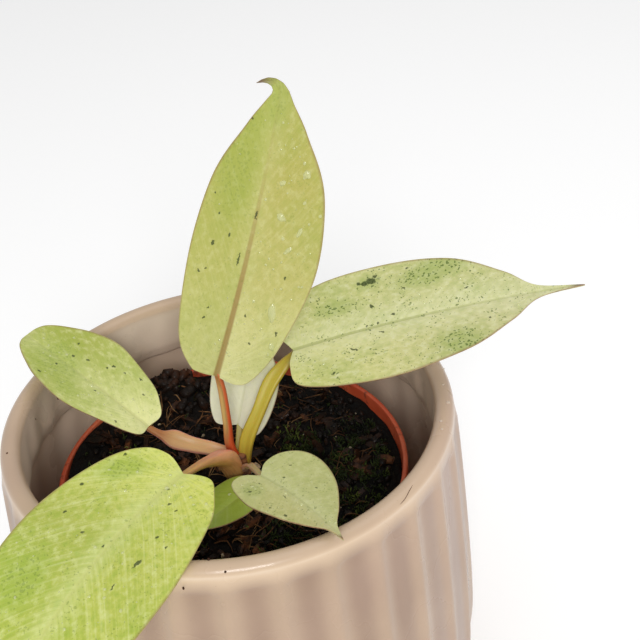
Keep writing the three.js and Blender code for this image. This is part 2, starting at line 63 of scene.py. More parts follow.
def cubic(start, end, leave, arrive, t):  # from start to end, with the slopes at both
    square = (end - start) * 3 - leave * 2 - arrive
    cube = (start - end) * 2 + leave + arrive
    return start + leave * t + square * t ** 2 + cube * t ** 3


def through(points, share):  # a point on the smooth curve through all the points
    points = [Vector(p) for p in points]
    place = clamp(share) * (len(points) - 1)
    spot = min(int(place), len(points) - 2)
    start, end = points[spot], points[spot + 1]
    before = points[spot - 1] if spot else start * 2 - end
    after = points[spot + 2] if spot + 2 < len(points) else end * 2 - start
    gaps = [max((b - a).length, 1e-9) ** 0.5 for a, b in ((before, start), (start, end), (end, after))]
    leave = (start - before) / gaps[0] - (end - before) / (gaps[0] + gaps[1]) + (end - start) / gaps[1]
    arrive = (end - start) / gaps[1] - (after - start) / (gaps[1] + gaps[2]) + (after - end) / gaps[2]
    return cubic(start, end, leave * gaps[1], arrive * gaps[1], place - spot)


def level(values, share):  # the same for single numbers, evenly spaced
    place = clamp(share) * (len(values) - 1)
    spot = min(int(place), len(values) - 2)
    start, end = values[spot], values[spot + 1]
    leave = (end - values[max(spot - 1, 0)]) / 2
    arrive = (values[min(spot + 2, len(values) - 1)] - start) / 2
    return cubic(start, end, leave, arrive, place - spot)


def fractal(point, octaves=4):  # layered noise, about -1 to 1
    return noise.fractal(point, 1.0, 2.0, octaves, noise_basis="PERLIN_ORIGINAL")


def addNode(tree, kind, inputs=None, stops=None, **settings):
    node = tree.nodes.new("ShaderNode" + kind)
    for name, value in settings.items():
        setattr(node, name, value)
    for key, value in (inputs or {}).items():
        if isinstance(value, bpy.types.NodeSocket):
            tree.links.new(value, node.inputs[key])
        else:
            node.inputs[key].default_value = value
    if stops:
        ramp = node.color_ramp.elements
        ramp.remove(ramp[1])
        for spot, (position, colour) in enumerate(stops):
            element = ramp[0] if spot == 0 else ramp.new(position)
            element.position = position
            element.color = linear(colour) if isinstance(colour, str) else [colour] * 3 + [1]
    return node


def evenStops(tones):  # the stops of a ramp that goes through the tones in even steps
    return [(i / (len(tones) - 1), tone) for i, tone in enumerate(tones)]


def newMaterial(name, **shaderInputs):
    material = bpy.data.materials.new(name)
    material.use_nodes = True
    tree = material.node_tree
    shader = tree.nodes["Principled BSDF"]
    for key, value in shaderInputs.items():
        shader.inputs[key.replace("_", " ")].default_value = value
    return material, tree, shader


def newPiece(name, shape, materials, replaced=(), sharpAngle=45):
    mesh = bpy.data.meshes.new(name)
    shape.to_mesh(mesh)
    shape.free()
    for material in materials:
        mesh.materials.append(material)
    mesh.shade_smooth()
    mesh.set_sharp_from_angle(angle=math.radians(sharpAngle))
    piece = bpy.data.objects.new(name, mesh)
    bpy.context.scene.collection.objects.link(piece)
    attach(piece, "root")
    if replaced:
        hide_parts(*replaced)
    print(name, len(mesh.polygons), "faces")
    return piece


def closeSeams(shape, gap=1e-7):
    bmesh.ops.remove_doubles(shape, verts=shape.verts[:], dist=gap)
    bmesh.ops.recalc_face_normals(shape, faces=shape.faces[:])


def lathe(shape, profile, steps):  # a grid rolled round the axis; profile in mm as (radius, height)
    rows = len(profile) - 1
    for vert in bmesh.ops.create_grid(shape, x_segments=steps, y_segments=rows, size=1)["verts"]:
        angle = math.pi * vert.co.x
        radius, height = profile[round((vert.co.y + 1) / 2 * rows)]
        vert.co = (radius * math.cos(angle) * mm, radius * math.sin(angle) * mm, height * mm)
    closeSeams(shape)


def smoothRun(points, count):  # count + 1 points of the smooth curve through a few
    return [tuple(through(points, i / count)) for i in range(count + 1)]


def arcRun(centre, radius, fromDegrees, toDegrees, count):
    angles = [math.radians(mix(fromDegrees, toDegrees, i / count)) for i in range(count + 1)]
    return [(centre[0] + radius * math.cos(a), centre[1] + radius * math.sin(a)) for a in angles]


# The cover pot: slip-cast stoneware under a thick shiny glaze

coverPot = {
    # the profile from the foot's middle, up outside, over the lip and down inside, as (radius, height) in mm
    "foot": [(0, 0), (30, 0), (64.5, 0), (65.6, 0.5)],
    "outside": [(66, 1.5), (71.5, 6.5), (76, 14), (79.1, 25), (80.3, 37), (80.1, 52), (78.9, 75), (77.5, 96),
                (75.6, 120), (74.9, 127.4)],
    "lipCentre": (70.6, 131.8), "lipRadius": 3.2,
    "neck": [(67.4, 131.8), (67.2, 127), (67.2, 121), (67.5, 117.5), (68.2, 115)],
    "ledge": [(68.5, 114.1), (68.7, 113.5), (69.1, 113.1), (69.8, 112.9)],
    "inside": [(70.8, 112.6), (71.9, 100), (72.8, 80), (72.4, 45), (69, 24), (58, 10)],
    "floor": [(30, 10), (0, 10)], "steps": 600,
    "flutes": 30, "fluteDepth": 1.3, "fluteTop": 130.5, "fluteArch": 3, "fluteFade": 5, "fluteFoot": 7,
    "ridgeRound": 0.35, "ridgePower": 2.4, "innerWave": 0.3,
    # how thickly the glaze lies, from 0 to 1; the darker flute hollows are partly glaze pooling and partly
    # painted shade, and the paler inside is painted light
    "poolAndShadeRidge": 0.74, "poolAndShadeHollow": 1, "poolRim": 0.5, "poolInsidePaintedLight": 0.12, "poolFloor": 0.5,
    "glaze": "#CDB498", "glazeThin": "#E2CFB8", "glazePooledAndShaded": "#967C68", "blush": "#BFA094",
    "pinholeColour": "#8A7260",
}


def fluteCut(angle, height):  # mm that a flute takes off the wall, softer at the ridges than a plain cosine
    pot = coverPot
    wave = abs(math.cos(angle * pot["flutes"] / 2))
    soft = pot["ridgeRound"]
    across = (math.hypot(wave, soft) - soft) / (math.hypot(1, soft) - soft)
    archTop = pot["fluteTop"] - pot["fluteArch"] * (1 - math.sqrt(max(0, 1 - (1 - across) ** 2)))
    fadeTop = ease(archTop - height, 0, pot["fluteFade"])
    fadeFoot = ease(height, pot["fluteFoot"] - 3, pot["fluteFoot"] + pot["fluteFade"])
    return pot["fluteDepth"] * (1 - (1 - across) ** pot["ridgePower"]) * fadeTop * fadeFoot


def glazeMaterial():
    # Glazed stoneware: dipped and fired; the glaze thins to a paler line on edges and pools in hollows. The
    # darker flute hollows are partly that pooling and partly painted shade; the paler inside is painted
    # light.
    pot = coverPot
    material, tree, shader = newMaterial("glazedStoneware", IOR=1.4, Coat_Weight=0.18, Coat_Roughness=0.08)
    place = addNode(tree, "TexCoord").outputs["Object"]
    # how thick the glaze lies, with painted shade in the flute hollows and painted light inside the pot
    pooledAndShaded = addNode(tree, "Attribute", attribute_name="glazePoolAndShade").outputs["Fac"]
    cloud = addNode(tree, "TexNoise", {"Vector": place, "Scale": 22, "Detail": 4}).outputs["Fac"]  # 45 mm
    drift = addNode(tree, "Math", {0: cloud, 1: -0.5}, operation="ADD").outputs[0]
    depth = addNode(tree, "Math", {0: drift, 1: 0.55, 2: pooledAndShaded}, operation="MULTIPLY_ADD").outputs[0]
    tone = addNode(tree, "ValToRGB", {"Fac": depth},
                   stops=[(0.0, pot["glazeThin"]), (0.3, pot["glaze"]), (1.0, pot["glazePooledAndShaded"])]).outputs[0]
    flame = addNode(tree, "TexNoise", {"Vector": place, "Scale": 9, "Detail": 2}).outputs["Fac"]  # 110 mm
    blushShare = addNode(tree, "MapRange", {0: flame, 1: 0.42, 2: 0.7, 3: 0.0, 4: 0.5}).outputs[0]
    blushed = addNode(tree, "Mix", {0: blushShare, 6: tone, 7: linear(pot["blush"])},
                      data_type="RGBA").outputs[2]
    pores = addNode(tree, "TexVoronoi", {"Vector": place, "Scale": 420}).outputs["Distance"]  # 2.4 mm apart
    pinhole = addNode(tree, "MapRange", {0: pores, 1: 0.03, 2: 0.075, 3: 1.0, 4: 0.0}).outputs[0]
    speck = addNode(tree, "Math", {0: pinhole, 1: 0.35}, operation="MULTIPLY").outputs[0]
    coloured = addNode(tree, "Mix", {0: speck, 6: blushed, 7: linear(pot["pinholeColour"])},
                       data_type="RGBA").outputs[2]
    tree.links.new(coloured, shader.inputs["Base Color"])
    gloss = addNode(tree, "MapRange", {0: cloud, 1: 0.3, 2: 0.7, 3: 0.24, 4: 0.34}).outputs[0]
    tree.links.new(gloss, shader.inputs["Roughness"])
    ripple = addNode(tree, "TexNoise", {"Vector": place, "Scale": 60, "Detail": 2}).outputs["Fac"]  # 17 mm
    relief = addNode(tree, "Math", {0: pinhole, 1: -0.25, 2: ripple}, operation="MULTIPLY_ADD").outputs[0]
    bump = addNode(tree, "Bump", {"Height": relief, "Strength": 0.35, "Distance": 0.0006})
    tree.links.new(bump.outputs[0], shader.inputs["Normal"])
    return material


def buildCoverPot():
    pot = coverPot
    lip = arcRun(pot["lipCentre"], pot["lipRadius"], 10, 180, 24)
    profile = [*pot["foot"], *smoothRun(pot["outside"], 84), *lip[:-1], *smoothRun(pot["neck"], 16),
               *pot["ledge"], *smoothRun(pot["inside"], 30), *pot["floor"]]
    shape = bmesh.new()
    poolAndShade = shape.verts.layers.float.new("glazePoolAndShade")
    lathe(shape, profile, pot["steps"])
    for vert in shape.verts:
        radius, height = math.hypot(vert.co.x, vert.co.y) / mm, vert.co.z / mm
        angle = math.atan2(vert.co.y, vert.co.x)
        if radius > (60 if height < 20 else 74):  # the wall outside, which narrows at the foot
            cut = fluteCut(angle, height)
            vert.co.xy *= 1 - cut / radius
            # darker in each flute hollow, lighter on its ridges: partly glaze pooling, partly painted shade
            # of the flutes
            hollow = (0.5 + 0.5 * math.cos(angle * pot["flutes"])) * cut / pot["fluteDepth"]
            wall = mix(pot["poolAndShadeRidge"], pot["poolAndShadeHollow"], hollow)
            vert[poolAndShade] = mix(wall, pot["poolRim"], ease(height, 126, 132))
        elif radius > 60:  # the flutes show faintly on the inside
            wave = pot["innerWave"] * math.cos(angle * pot["flutes"]) * ease(131 - height, 0, 8)
            vert.co.xy *= 1 + wave / radius
            # the thin, pale glaze inside is painted light on the inner wall and neck
            below, rim = 1 - ease(height, 108, 120), ease(height, 131, 134)
            vert[poolAndShade] = pot["poolInsidePaintedLight"] * below + pot["poolRim"] * rim
        else:
            vert[poolAndShade] = pot["poolFloor"]
    newPiece("coverPotGlazed", shape, [glazeMaterial()], ["cover_pot"])


# The growing pot: thin moulded polypropylene

growingPot = {
    "rimRadius": 59.3, "rimThickness": 1.7, "rimRound": 0.6, "band": 8, "wall": 1.5, "footRadius": 43,
    "floor": 10.3, "rimTop": 109, "shiftX": -0.9, "steps": 256, "ringHeights": [30, 50, 70, 90],
    "drainHoles": 6, "drainRadius": 4, "drainRing": 30,
    "colour": "#B9492A", "faded": "#CB6440", "grime": "#4A2A1C",
}


def growingWallRadius(height):
    pot = growingPot
    rise = (height - pot["floor"]) / (pot["rimTop"] - pot["floor"])
    return mix(pot["footRadius"], pot["rimRadius"] - 1.6, rise)


def polypropyleneMaterial():
    # Injection-moulded polypropylene: brick orange, waxy, with scuffs and soil dust near the rim
    pot = growingPot
    material, tree, shader = newMaterial("mouldedPolypropylene", IOR=1.49)
    place = addNode(tree, "TexCoord").outputs["Object"]
    cloud = addNode(tree, "TexNoise", {"Vector": place, "Scale": 45, "Detail": 5}).outputs["Fac"]  # 22 mm
    tone = addNode(tree, "ValToRGB", {"Fac": cloud},
                   stops=[(0.35, pot["colour"]), (0.7, pot["faded"])]).outputs[0]
    dust = addNode(tree, "TexNoise", {"Vector": place, "Scale": 330, "Detail": 3}).outputs["Fac"]  # 3 mm
    dustShare = addNode(tree, "MapRange", {0: dust, 1: 0.6, 2: 0.72, 3: 0.0, 4: 0.7}).outputs[0]
    dusted = addNode(tree, "Mix", {0: dustShare, 6: tone, 7: linear(pot["grime"])},
                     data_type="RGBA").outputs[2]
    tree.links.new(dusted, shader.inputs["Base Color"])
    gloss = addNode(tree, "MapRange", {0: dust, 1: 0.3, 2: 0.7, 3: 0.34, 4: 0.6}).outputs[0]
    tree.links.new(gloss, shader.inputs["Roughness"])
    bump = addNode(tree, "Bump", {"Height": dust, "Strength": 0.2, "Distance": 0.0002})
    tree.links.new(bump.outputs[0], shader.inputs["Normal"])
    return material


def drillDrainHoles(piece):
    pot = growingPot
    drills = bmesh.new()
    for hole in range(pot["drainHoles"]):
        angle = hole * math.tau / pot["drainHoles"]
        x, y = pot["drainRing"] * math.cos(angle), pot["drainRing"] * math.sin(angle)
        centre = Vector((x + pot["shiftX"], y, pot["floor"]))
        bmesh.ops.create_cone(drills, cap_ends=True, segments=32, radius1=pot["drainRadius"] * mm,
                              radius2=pot["drainRadius"] * mm, depth=8 * mm,
                              matrix=Matrix.Translation(centre * mm))
    cutMesh = bpy.data.meshes.new("drills")
    drills.to_mesh(cutMesh)
    drills.free()
    cutter = bpy.data.objects.new("drills", cutMesh)
    bpy.context.scene.collection.objects.link(cutter)
    cut = piece.modifiers.new("drainHoles", "BOOLEAN")
    cut.object, cut.operation, cut.solver = cutter, "DIFFERENCE", "EXACT"
    bpy.context.view_layer.update()
    drilled = bpy.data.meshes.new_from_object(piece.evaluated_get(bpy.context.evaluated_depsgraph_get()))
    piece.modifiers.clear()
    piece.data = drilled
    bpy.data.objects.remove(cutter)


def buildGrowingPot():
    pot = growingPot
    outer, top, floor, foot = pot["rimRadius"], pot["rimTop"], pot["floor"], pot["footRadius"]
    inner, bandFoot, inside = outer - pot["rimThickness"], top - pot["band"], floor + pot["wall"]
    bead = pot["rimRound"]
    profile = [
        (0, floor), (20, floor), (foot - 1, floor), (foot, floor + 1),
        *[(growingWallRadius(h), h) for h in pot["ringHeights"]],
        (growingWallRadius(bandFoot), bandFoot), (outer - 0.4, bandFoot), (outer, bandFoot + 0.4),
        (outer, top - 0.9), *arcRun((outer - bead, top - bead), bead, 0, 90, 5),
        *arcRun((inner + bead, top - bead), bead, 90, 180, 5),
        (inner - 0.2, top - 4), (inner - 0.3, bandFoot + 2.4),
        *[(growingWallRadius(h) - pot["wall"], h) for h in (bandFoot, *reversed(pot["ringHeights"]))],
        (foot - pot["wall"], inside), (20, inside), (0, inside),
    ]
    shape = bmesh.new()
    lathe(shape, profile, pot["steps"])
    for vert in shape.verts:  # thin walls stay a little out of round
        angle = math.atan2(vert.co.y, vert.co.x)
        vert.co.xy *= 1 + 0.002 * math.sin(2 * angle + 0.7) * ease(vert.co.z / mm, 20, 109) - 0.002
        vert.co.x += pot["shiftX"] * mm
    drillDrainHoles(newPiece("growingPotMoulded", shape, [polypropyleneMaterial()],
                             ["growing_pot"]))


# The potting mix: coir, bark crumb and peat, with moss on its right side, where painted shade darkens the mix

pottingMix = {
    "top": 104.5, "radius": 56.9, "shiftX": -0.9, "seed": 7, "rings": 96, "steps": 320,
    "crumbs": 1500, "heapClods": 46, "chips": 330, "fibres": 260, "mossTries": 5200, "grit": 34,
    "peat": ["#050403", "#100A06", "#1B1009"], "crumb": ["#050403", "#1B1009", "#42220F"],
    "bark": ["#0E0804", "#3A2010", "#8A5430"], "coir": ["#26180E", "#6E4A2C", "#A98A5C"],
    "moss": ["#14180A", "#3A481C", "#86923E"], "stone": ["#6E5B45", "#C4B294", "#D8CDB4"],
    # painted shade: the grey that darkens the right side of the mix, and how much of it
    "rightShadeTone": (0.3, 0.3, 0.3, 1), "rightShadeShare": 0.8,
}


def soilHeight(x, y):  # mm above the foot; x and y from the growing pot's middle
    swell = 0.9 * math.sin(0.16 * x + 0.6) * math.cos(0.14 * y + 0.3) + 0.5 * math.sin(0.37 * x - 0.29 * y)
    heap = 8.5 * math.exp(-((x + 25) / 13) ** 2 - ((y - 45) / 8) ** 2)
    rimBank = (0.7 - 0.012 * x) * ease(math.hypot(x, y), 36, 54)
    leftBank = 2.4 * ease(-x, 24, 46) * ease(math.hypot(x, y), 40, 55)
    dish = 1.6 * math.exp(-((x - 1) ** 2 + y ** 2) / 220)
    return pottingMix["top"] + swell + heap + rimBank + leftBank - dish


def mossShare(x, y):  # where moss grows: the front right of the mix, patchily
    patch = ease(x, 8, 24) * ease(26 - y, 0, 16)
    return patch * ease(fractal(Vector((x, y, 3)) * 0.09) + 0.35, 0, 0.5)


def soilMaterial(name, colours, roughness, damp=0.0):
    # Damp peat and bark: nearly black in the gaps, rust brown where chips show, with a glint of water;
    # painted shade darkens everything right of the middle
    material, tree, shader = newMaterial(name, Specular_IOR_Level=0.15, Coat_Weight=damp, Coat_Roughness=0.2)
    place = addNode(tree, "TexCoord").outputs["Object"]
    grain = addNode(tree, "TexNoise", {"Vector": place, "Scale": 260, "Detail": 6, "Roughness": 0.7})  # 4 mm
    grain = grain.outputs["Fac"]
    lump = addNode(tree, "TexNoise", {"Vector": place, "Scale": 70, "Detail": 3}).outputs["Fac"]  # 14 mm
    both = addNode(tree, "Math", {0: grain, 1: lump}, operation="ADD").outputs[0]
    share = addNode(tree, "MapRange", {0: both, 1: 0.75, 2: 1.3}).outputs[0]
    tone = addNode(tree, "ValToRGB", {"Fac": share}, stops=evenStops(colours)).outputs[0]
    toRight = addNode(tree, "SeparateXYZ", {0: place}).outputs[0]  # painted shade: the mix is painted darker towards its right side
    rightShadeShare = addNode(tree, "MapRange", {0: toRight, 1: -0.008, 2: 0.026, 3: 0.0, 4: pottingMix["rightShadeShare"]})
    rightShaded = addNode(tree, "Mix", {0: rightShadeShare.outputs[0], 6: tone, 7: pottingMix["rightShadeTone"]}, data_type="RGBA",
                  blend_type="MULTIPLY").outputs[2]
    tree.links.new(rightShaded, shader.inputs["Base Color"])
    gloss = addNode(tree, "MapRange", {0: grain, 1: 0.35, 2: 0.65, 3: roughness - 0.25, 4: roughness})
    tree.links.new(gloss.outputs[0], shader.inputs["Roughness"])
    bump = addNode(tree, "Bump", {"Height": grain, "Strength": 0.8, "Distance": 0.0006})
    tree.links.new(bump.outputs[0], shader.inputs["Normal"])
    return material


def buildSoilBody():
    mixture = pottingMix
    top, radius = mixture["top"], mixture["radius"]
    floor = growingPot["floor"] + growingPot["wall"] + 0.3
    wall = [(growingWallRadius(h) - growingPot["wall"] - 0.6, h) for h in (floor + 1, 30, 50, 70, 100.8)]
    rings = [(radius * (1 - i / mixture["rings"]), top) for i in range(mixture["rings"] + 1)]
    shape = bmesh.new()
    lathe(shape, [(0, floor), (20, floor), (wall[0][0] - 1, floor), *wall, (radius, 103.9), *rings],
          mixture["steps"])
    for vert in shape.verts:
        x, y, z = vert.co / mm
        if z > top - 0.01:
            rough = 1.5 * fractal(Vector((x, y, 0)) * 0.22, 5) + 0.8 * fractal(Vector((x, y, 9)) * 0.8, 3)
            inwards = radius - math.hypot(x, y)
            lowest = top - 0.3 if inwards < 1 else 0
            vert.co.z = max(soilHeight(x, y) + rough * ease(inwards, -0.5, 2), lowest) * mm
        vert.co.x += mixture["shiftX"] * mm
    peat = soilMaterial("dampPeat", mixture["peat"], 0.9)
    newPiece("pottingMixBody", shape, [peat], ["potting_mix"], sharpAngle=60)


def onSoil(draw, low=6, high=53.5):  # a random place on the mix, in mm, and its height
    reach = math.sqrt(mix(low ** 2, high ** 2, draw.random()))
    angle = draw.uniform(0, math.tau)
    x, y = reach * math.cos(angle), reach * math.sin(angle)
    return x, y, soilHeight(x, y)


def addLump(shape, centre, size, draw, rough=0.35, flat=0.7):
    turn = Euler([draw.uniform(0, math.tau) for _ in range(3)]).to_matrix().to_4x4()
    stretch = Matrix.Diagonal((draw.uniform(0.8, 1.5), draw.uniform(0.7, 1.1), flat, 1))
    place = Matrix.Translation(Vector(centre) * mm) @ turn @ stretch
    lump, carrier = bmesh.new(), bpy.data.meshes.new("lump")
    bmesh.ops.create_icosphere(lump, subdivisions=1, radius=size / 2 * mm)
    seed = Vector((draw.uniform(0, 90), draw.uniform(0, 90), draw.uniform(0, 90)))
    for vert in lump.verts:
        vert.co *= 1 + rough * noise.noise(vert.co * 1.7 / (size * mm) + seed)
        vert.co = place @ vert.co
    lump.to_mesh(carrier)
    lump.free()
    shape.from_mesh(carrier)
    bpy.data.meshes.remove(carrier)


def buildCrumbs():
    mixture = pottingMix
    draw = random.Random(mixture["seed"])
    shape = bmesh.new()
    for _ in range(mixture["crumbs"]):
        x, y, z = onSoil(draw)
        size = mix(0.9, 3.6, draw.random() ** 2.2)
        addLump(shape, (x + mixture["shiftX"], y, z + size * 0.18), size, draw)
    for _ in range(mixture["heapClods"]):  # the heap behind, where the mix stands above its pot
        x, y, size = draw.gauss(-24, 9), draw.gauss(44, 3.4), draw.uniform(2.6, 6)
        if math.hypot(x, y) < 53:
            addLump(shape, (x, y, soilHeight(x, y) + size * 0.2), size, draw, rough=0.5)
    crumb = soilMaterial("peatCrumb", mixture["crumb"], 0.8, damp=0.08)
    newPiece("peatCrumbs", shape, [crumb], sharpAngle=60)


def buildBarkChips():
    mixture = pottingMix
    draw = random.Random(mixture["seed"] + 1)
    noise.seed_set(mixture["seed"])  # without it noise_vector differs from run to run
    shape, carrier = bmesh.new(), bpy.data.meshes.new("chip")
    for _ in range(mixture["chips"]):
        x, y, z = onSoil(draw, 8, 52)
        length = mix(2.2, 7, draw.random() ** 1.8)
        size = Vector((length, length * draw.uniform(0.3, 0.6), length * draw.uniform(0.14, 0.28))) * mm
        turn = Euler((draw.gauss(0, 0.45), draw.gauss(0, 0.45), draw.uniform(0, math.tau)))
        turn = turn.to_matrix().to_4x4()
        place = Matrix.Translation(Vector((x + mixture["shiftX"], y, z + length * 0.12)) * mm) @ turn
        chip = bmesh.new()
        bmesh.ops.create_cube(chip, size=1)
        bmesh.ops.subdivide_edges(chip, edges=chip.edges[:], cuts=2, use_grid_fill=True)
        seed = Vector((draw.uniform(0, 90),) * 3)
        for vert in chip.verts:
            ragged = noise.noise_vector(vert.co * 2.1 + seed) * 0.3
            narrow = 1 - 0.5 * abs(vert.co.x)
            across = vert.co.y * narrow + ragged.y
            vert.co = place @ Vector(((vert.co.x + ragged.x) * size.x, across * size.y,
                                      (vert.co.z + ragged.z) * size.z))
        chip.to_mesh(carrier)
        chip.free()
        shape.from_mesh(carrier)
    bpy.data.meshes.remove(carrier)
    bark = soilMaterial("compostedBark", mixture["bark"], 0.75, damp=0.1)
    newPiece("barkChips", shape, [bark], sharpAngle=35)


def along(points, share, facing):  # place and turn on a route, for a section drawn flat
    centre = through(points, share)
    ahead = (through(points, min(share + 0.01, 1)) - through(points, max(share - 0.01, 0))).normalized()
    side = ahead.cross(Vector(facing)).normalized()
    return centre, side, side.cross(ahead)


def addStrands(shape, strands, steps=6, sides=5):  # tapered threads, each (points, thickness) in mm
    for number in range(len(strands)):  # rings start one above the other, so a height tells the strand
        bmesh.ops.create_circle(shape, segments=sides, radius=1, matrix=Matrix.Translation((0, 0, number)))
    rings, edges = [shape.verts[:]], shape.edges[:]
    for _ in range(steps):
        grown = bmesh.ops.extrude_edge_only(shape, edges=edges)["geom"]
        edges = [part for part in grown if isinstance(part, bmesh.types.BMEdge)]
        rings.append([part for part in grown if isinstance(part, bmesh.types.BMVert)])
    for step, ring in enumerate(rings):
        for vert in ring:
            points, thickness = strands[round(vert.co.z)]
            centre, side, up = along(points, step / steps, (0.1, 0.2, 1))
            size = thickness / 2 * (1 - abs(2 * step / steps - 1) ** 3)
            vert.co = (centre + (side * vert.co.x + up * vert.co.y) * size) * mm
    closeSeams(shape, 1e-8)


def buildFibres():
    mixture = pottingMix
    draw = random.Random(mixture["seed"] + 2)
    shape, strands = bmesh.new(), []
    for _ in range(mixture["fibres"]):
        x, y, _ = onSoil(draw, 7, 52)
        heading, length = draw.uniform(0, math.tau), mix(5, 17, draw.random() ** 1.5)
        points = []
        for step in range(4):
            height = soilHeight(x, y) + (0.5 + 1.4 * draw.random() if 0 < step < 3 else 0.1)
            points.append((x + mixture["shiftX"], y, height))
            heading += draw.gauss(0, 0.6)
            x, y = x + math.cos(heading) * length / 3, y + math.sin(heading) * length / 3
        if max(math.hypot(px - mixture["shiftX"], py) for px, py, _ in points) < 54:
            strands.append((points, draw.uniform(0.25, 0.6)))
    addStrands(shape, strands)
    newPiece("coirFibres", shape, [soilMaterial("coirFibre", mixture["coir"], 0.85)], sharpAngle=70)


def buildMoss():
    mixture = pottingMix
    draw = random.Random(mixture["seed"] + 3)
    shape, strands = bmesh.new(), []
    for _ in range(mixture["mossTries"]):
        x, y, z = onSoil(draw, 9, 53)
        if draw.random() > mossShare(x, y) + 0.02:
            continue
        for _ in range(3):
            lean, height = draw.uniform(0, math.tau), draw.uniform(0.8, 2.4)
            reach = height * draw.uniform(0.3, 1.1)
            foot = Vector((x + mixture["shiftX"] + draw.gauss(0, 0.4), y + draw.gauss(0, 0.4), z + 0.1))
            top = foot + Vector((math.cos(lean) * reach, math.sin(lean) * reach, height))
            middle = foot.lerp(top, 0.5) + Vector((0, 0, height * 0.22))
            strands.append(([foot, middle, top], draw.uniform(0.3, 0.6)))
    addStrands(shape, strands, steps=3, sides=4)
    newPiece("mossTufts", shape, [soilMaterial("cushionMoss", mixture["moss"], 0.8)], sharpAngle=70)


def buildGrit():
    mixture = pottingMix
    draw = random.Random(mixture["seed"] + 4)
    shape = bmesh.new()
    for _ in range(mixture["grit"]):
        x, y, z = onSoil(draw, 8, 52)
        addLump(shape, (x + mixture["shiftX"], y, z + 0.5), draw.uniform(0.5, 1.7), draw, rough=0.25)
    newPiece("paleGrit", shape, [soilMaterial("paleGrit", mixture["stone"], 0.75)], sharpAngle=50)


# The leaves. They stand and lean as the solids that they replace; four have rounder lobes than the solids.
# Junctions are in mm from the rim's middle, angles in degrees. Outlines are shares of length and half width:
# lobe, heel (along, across), flank, widest place, shoulder, neck, and a blunt end where a leaf has one.
# Green zones and flecks give each spot's place along and across in mm, its length and width, and its angle.

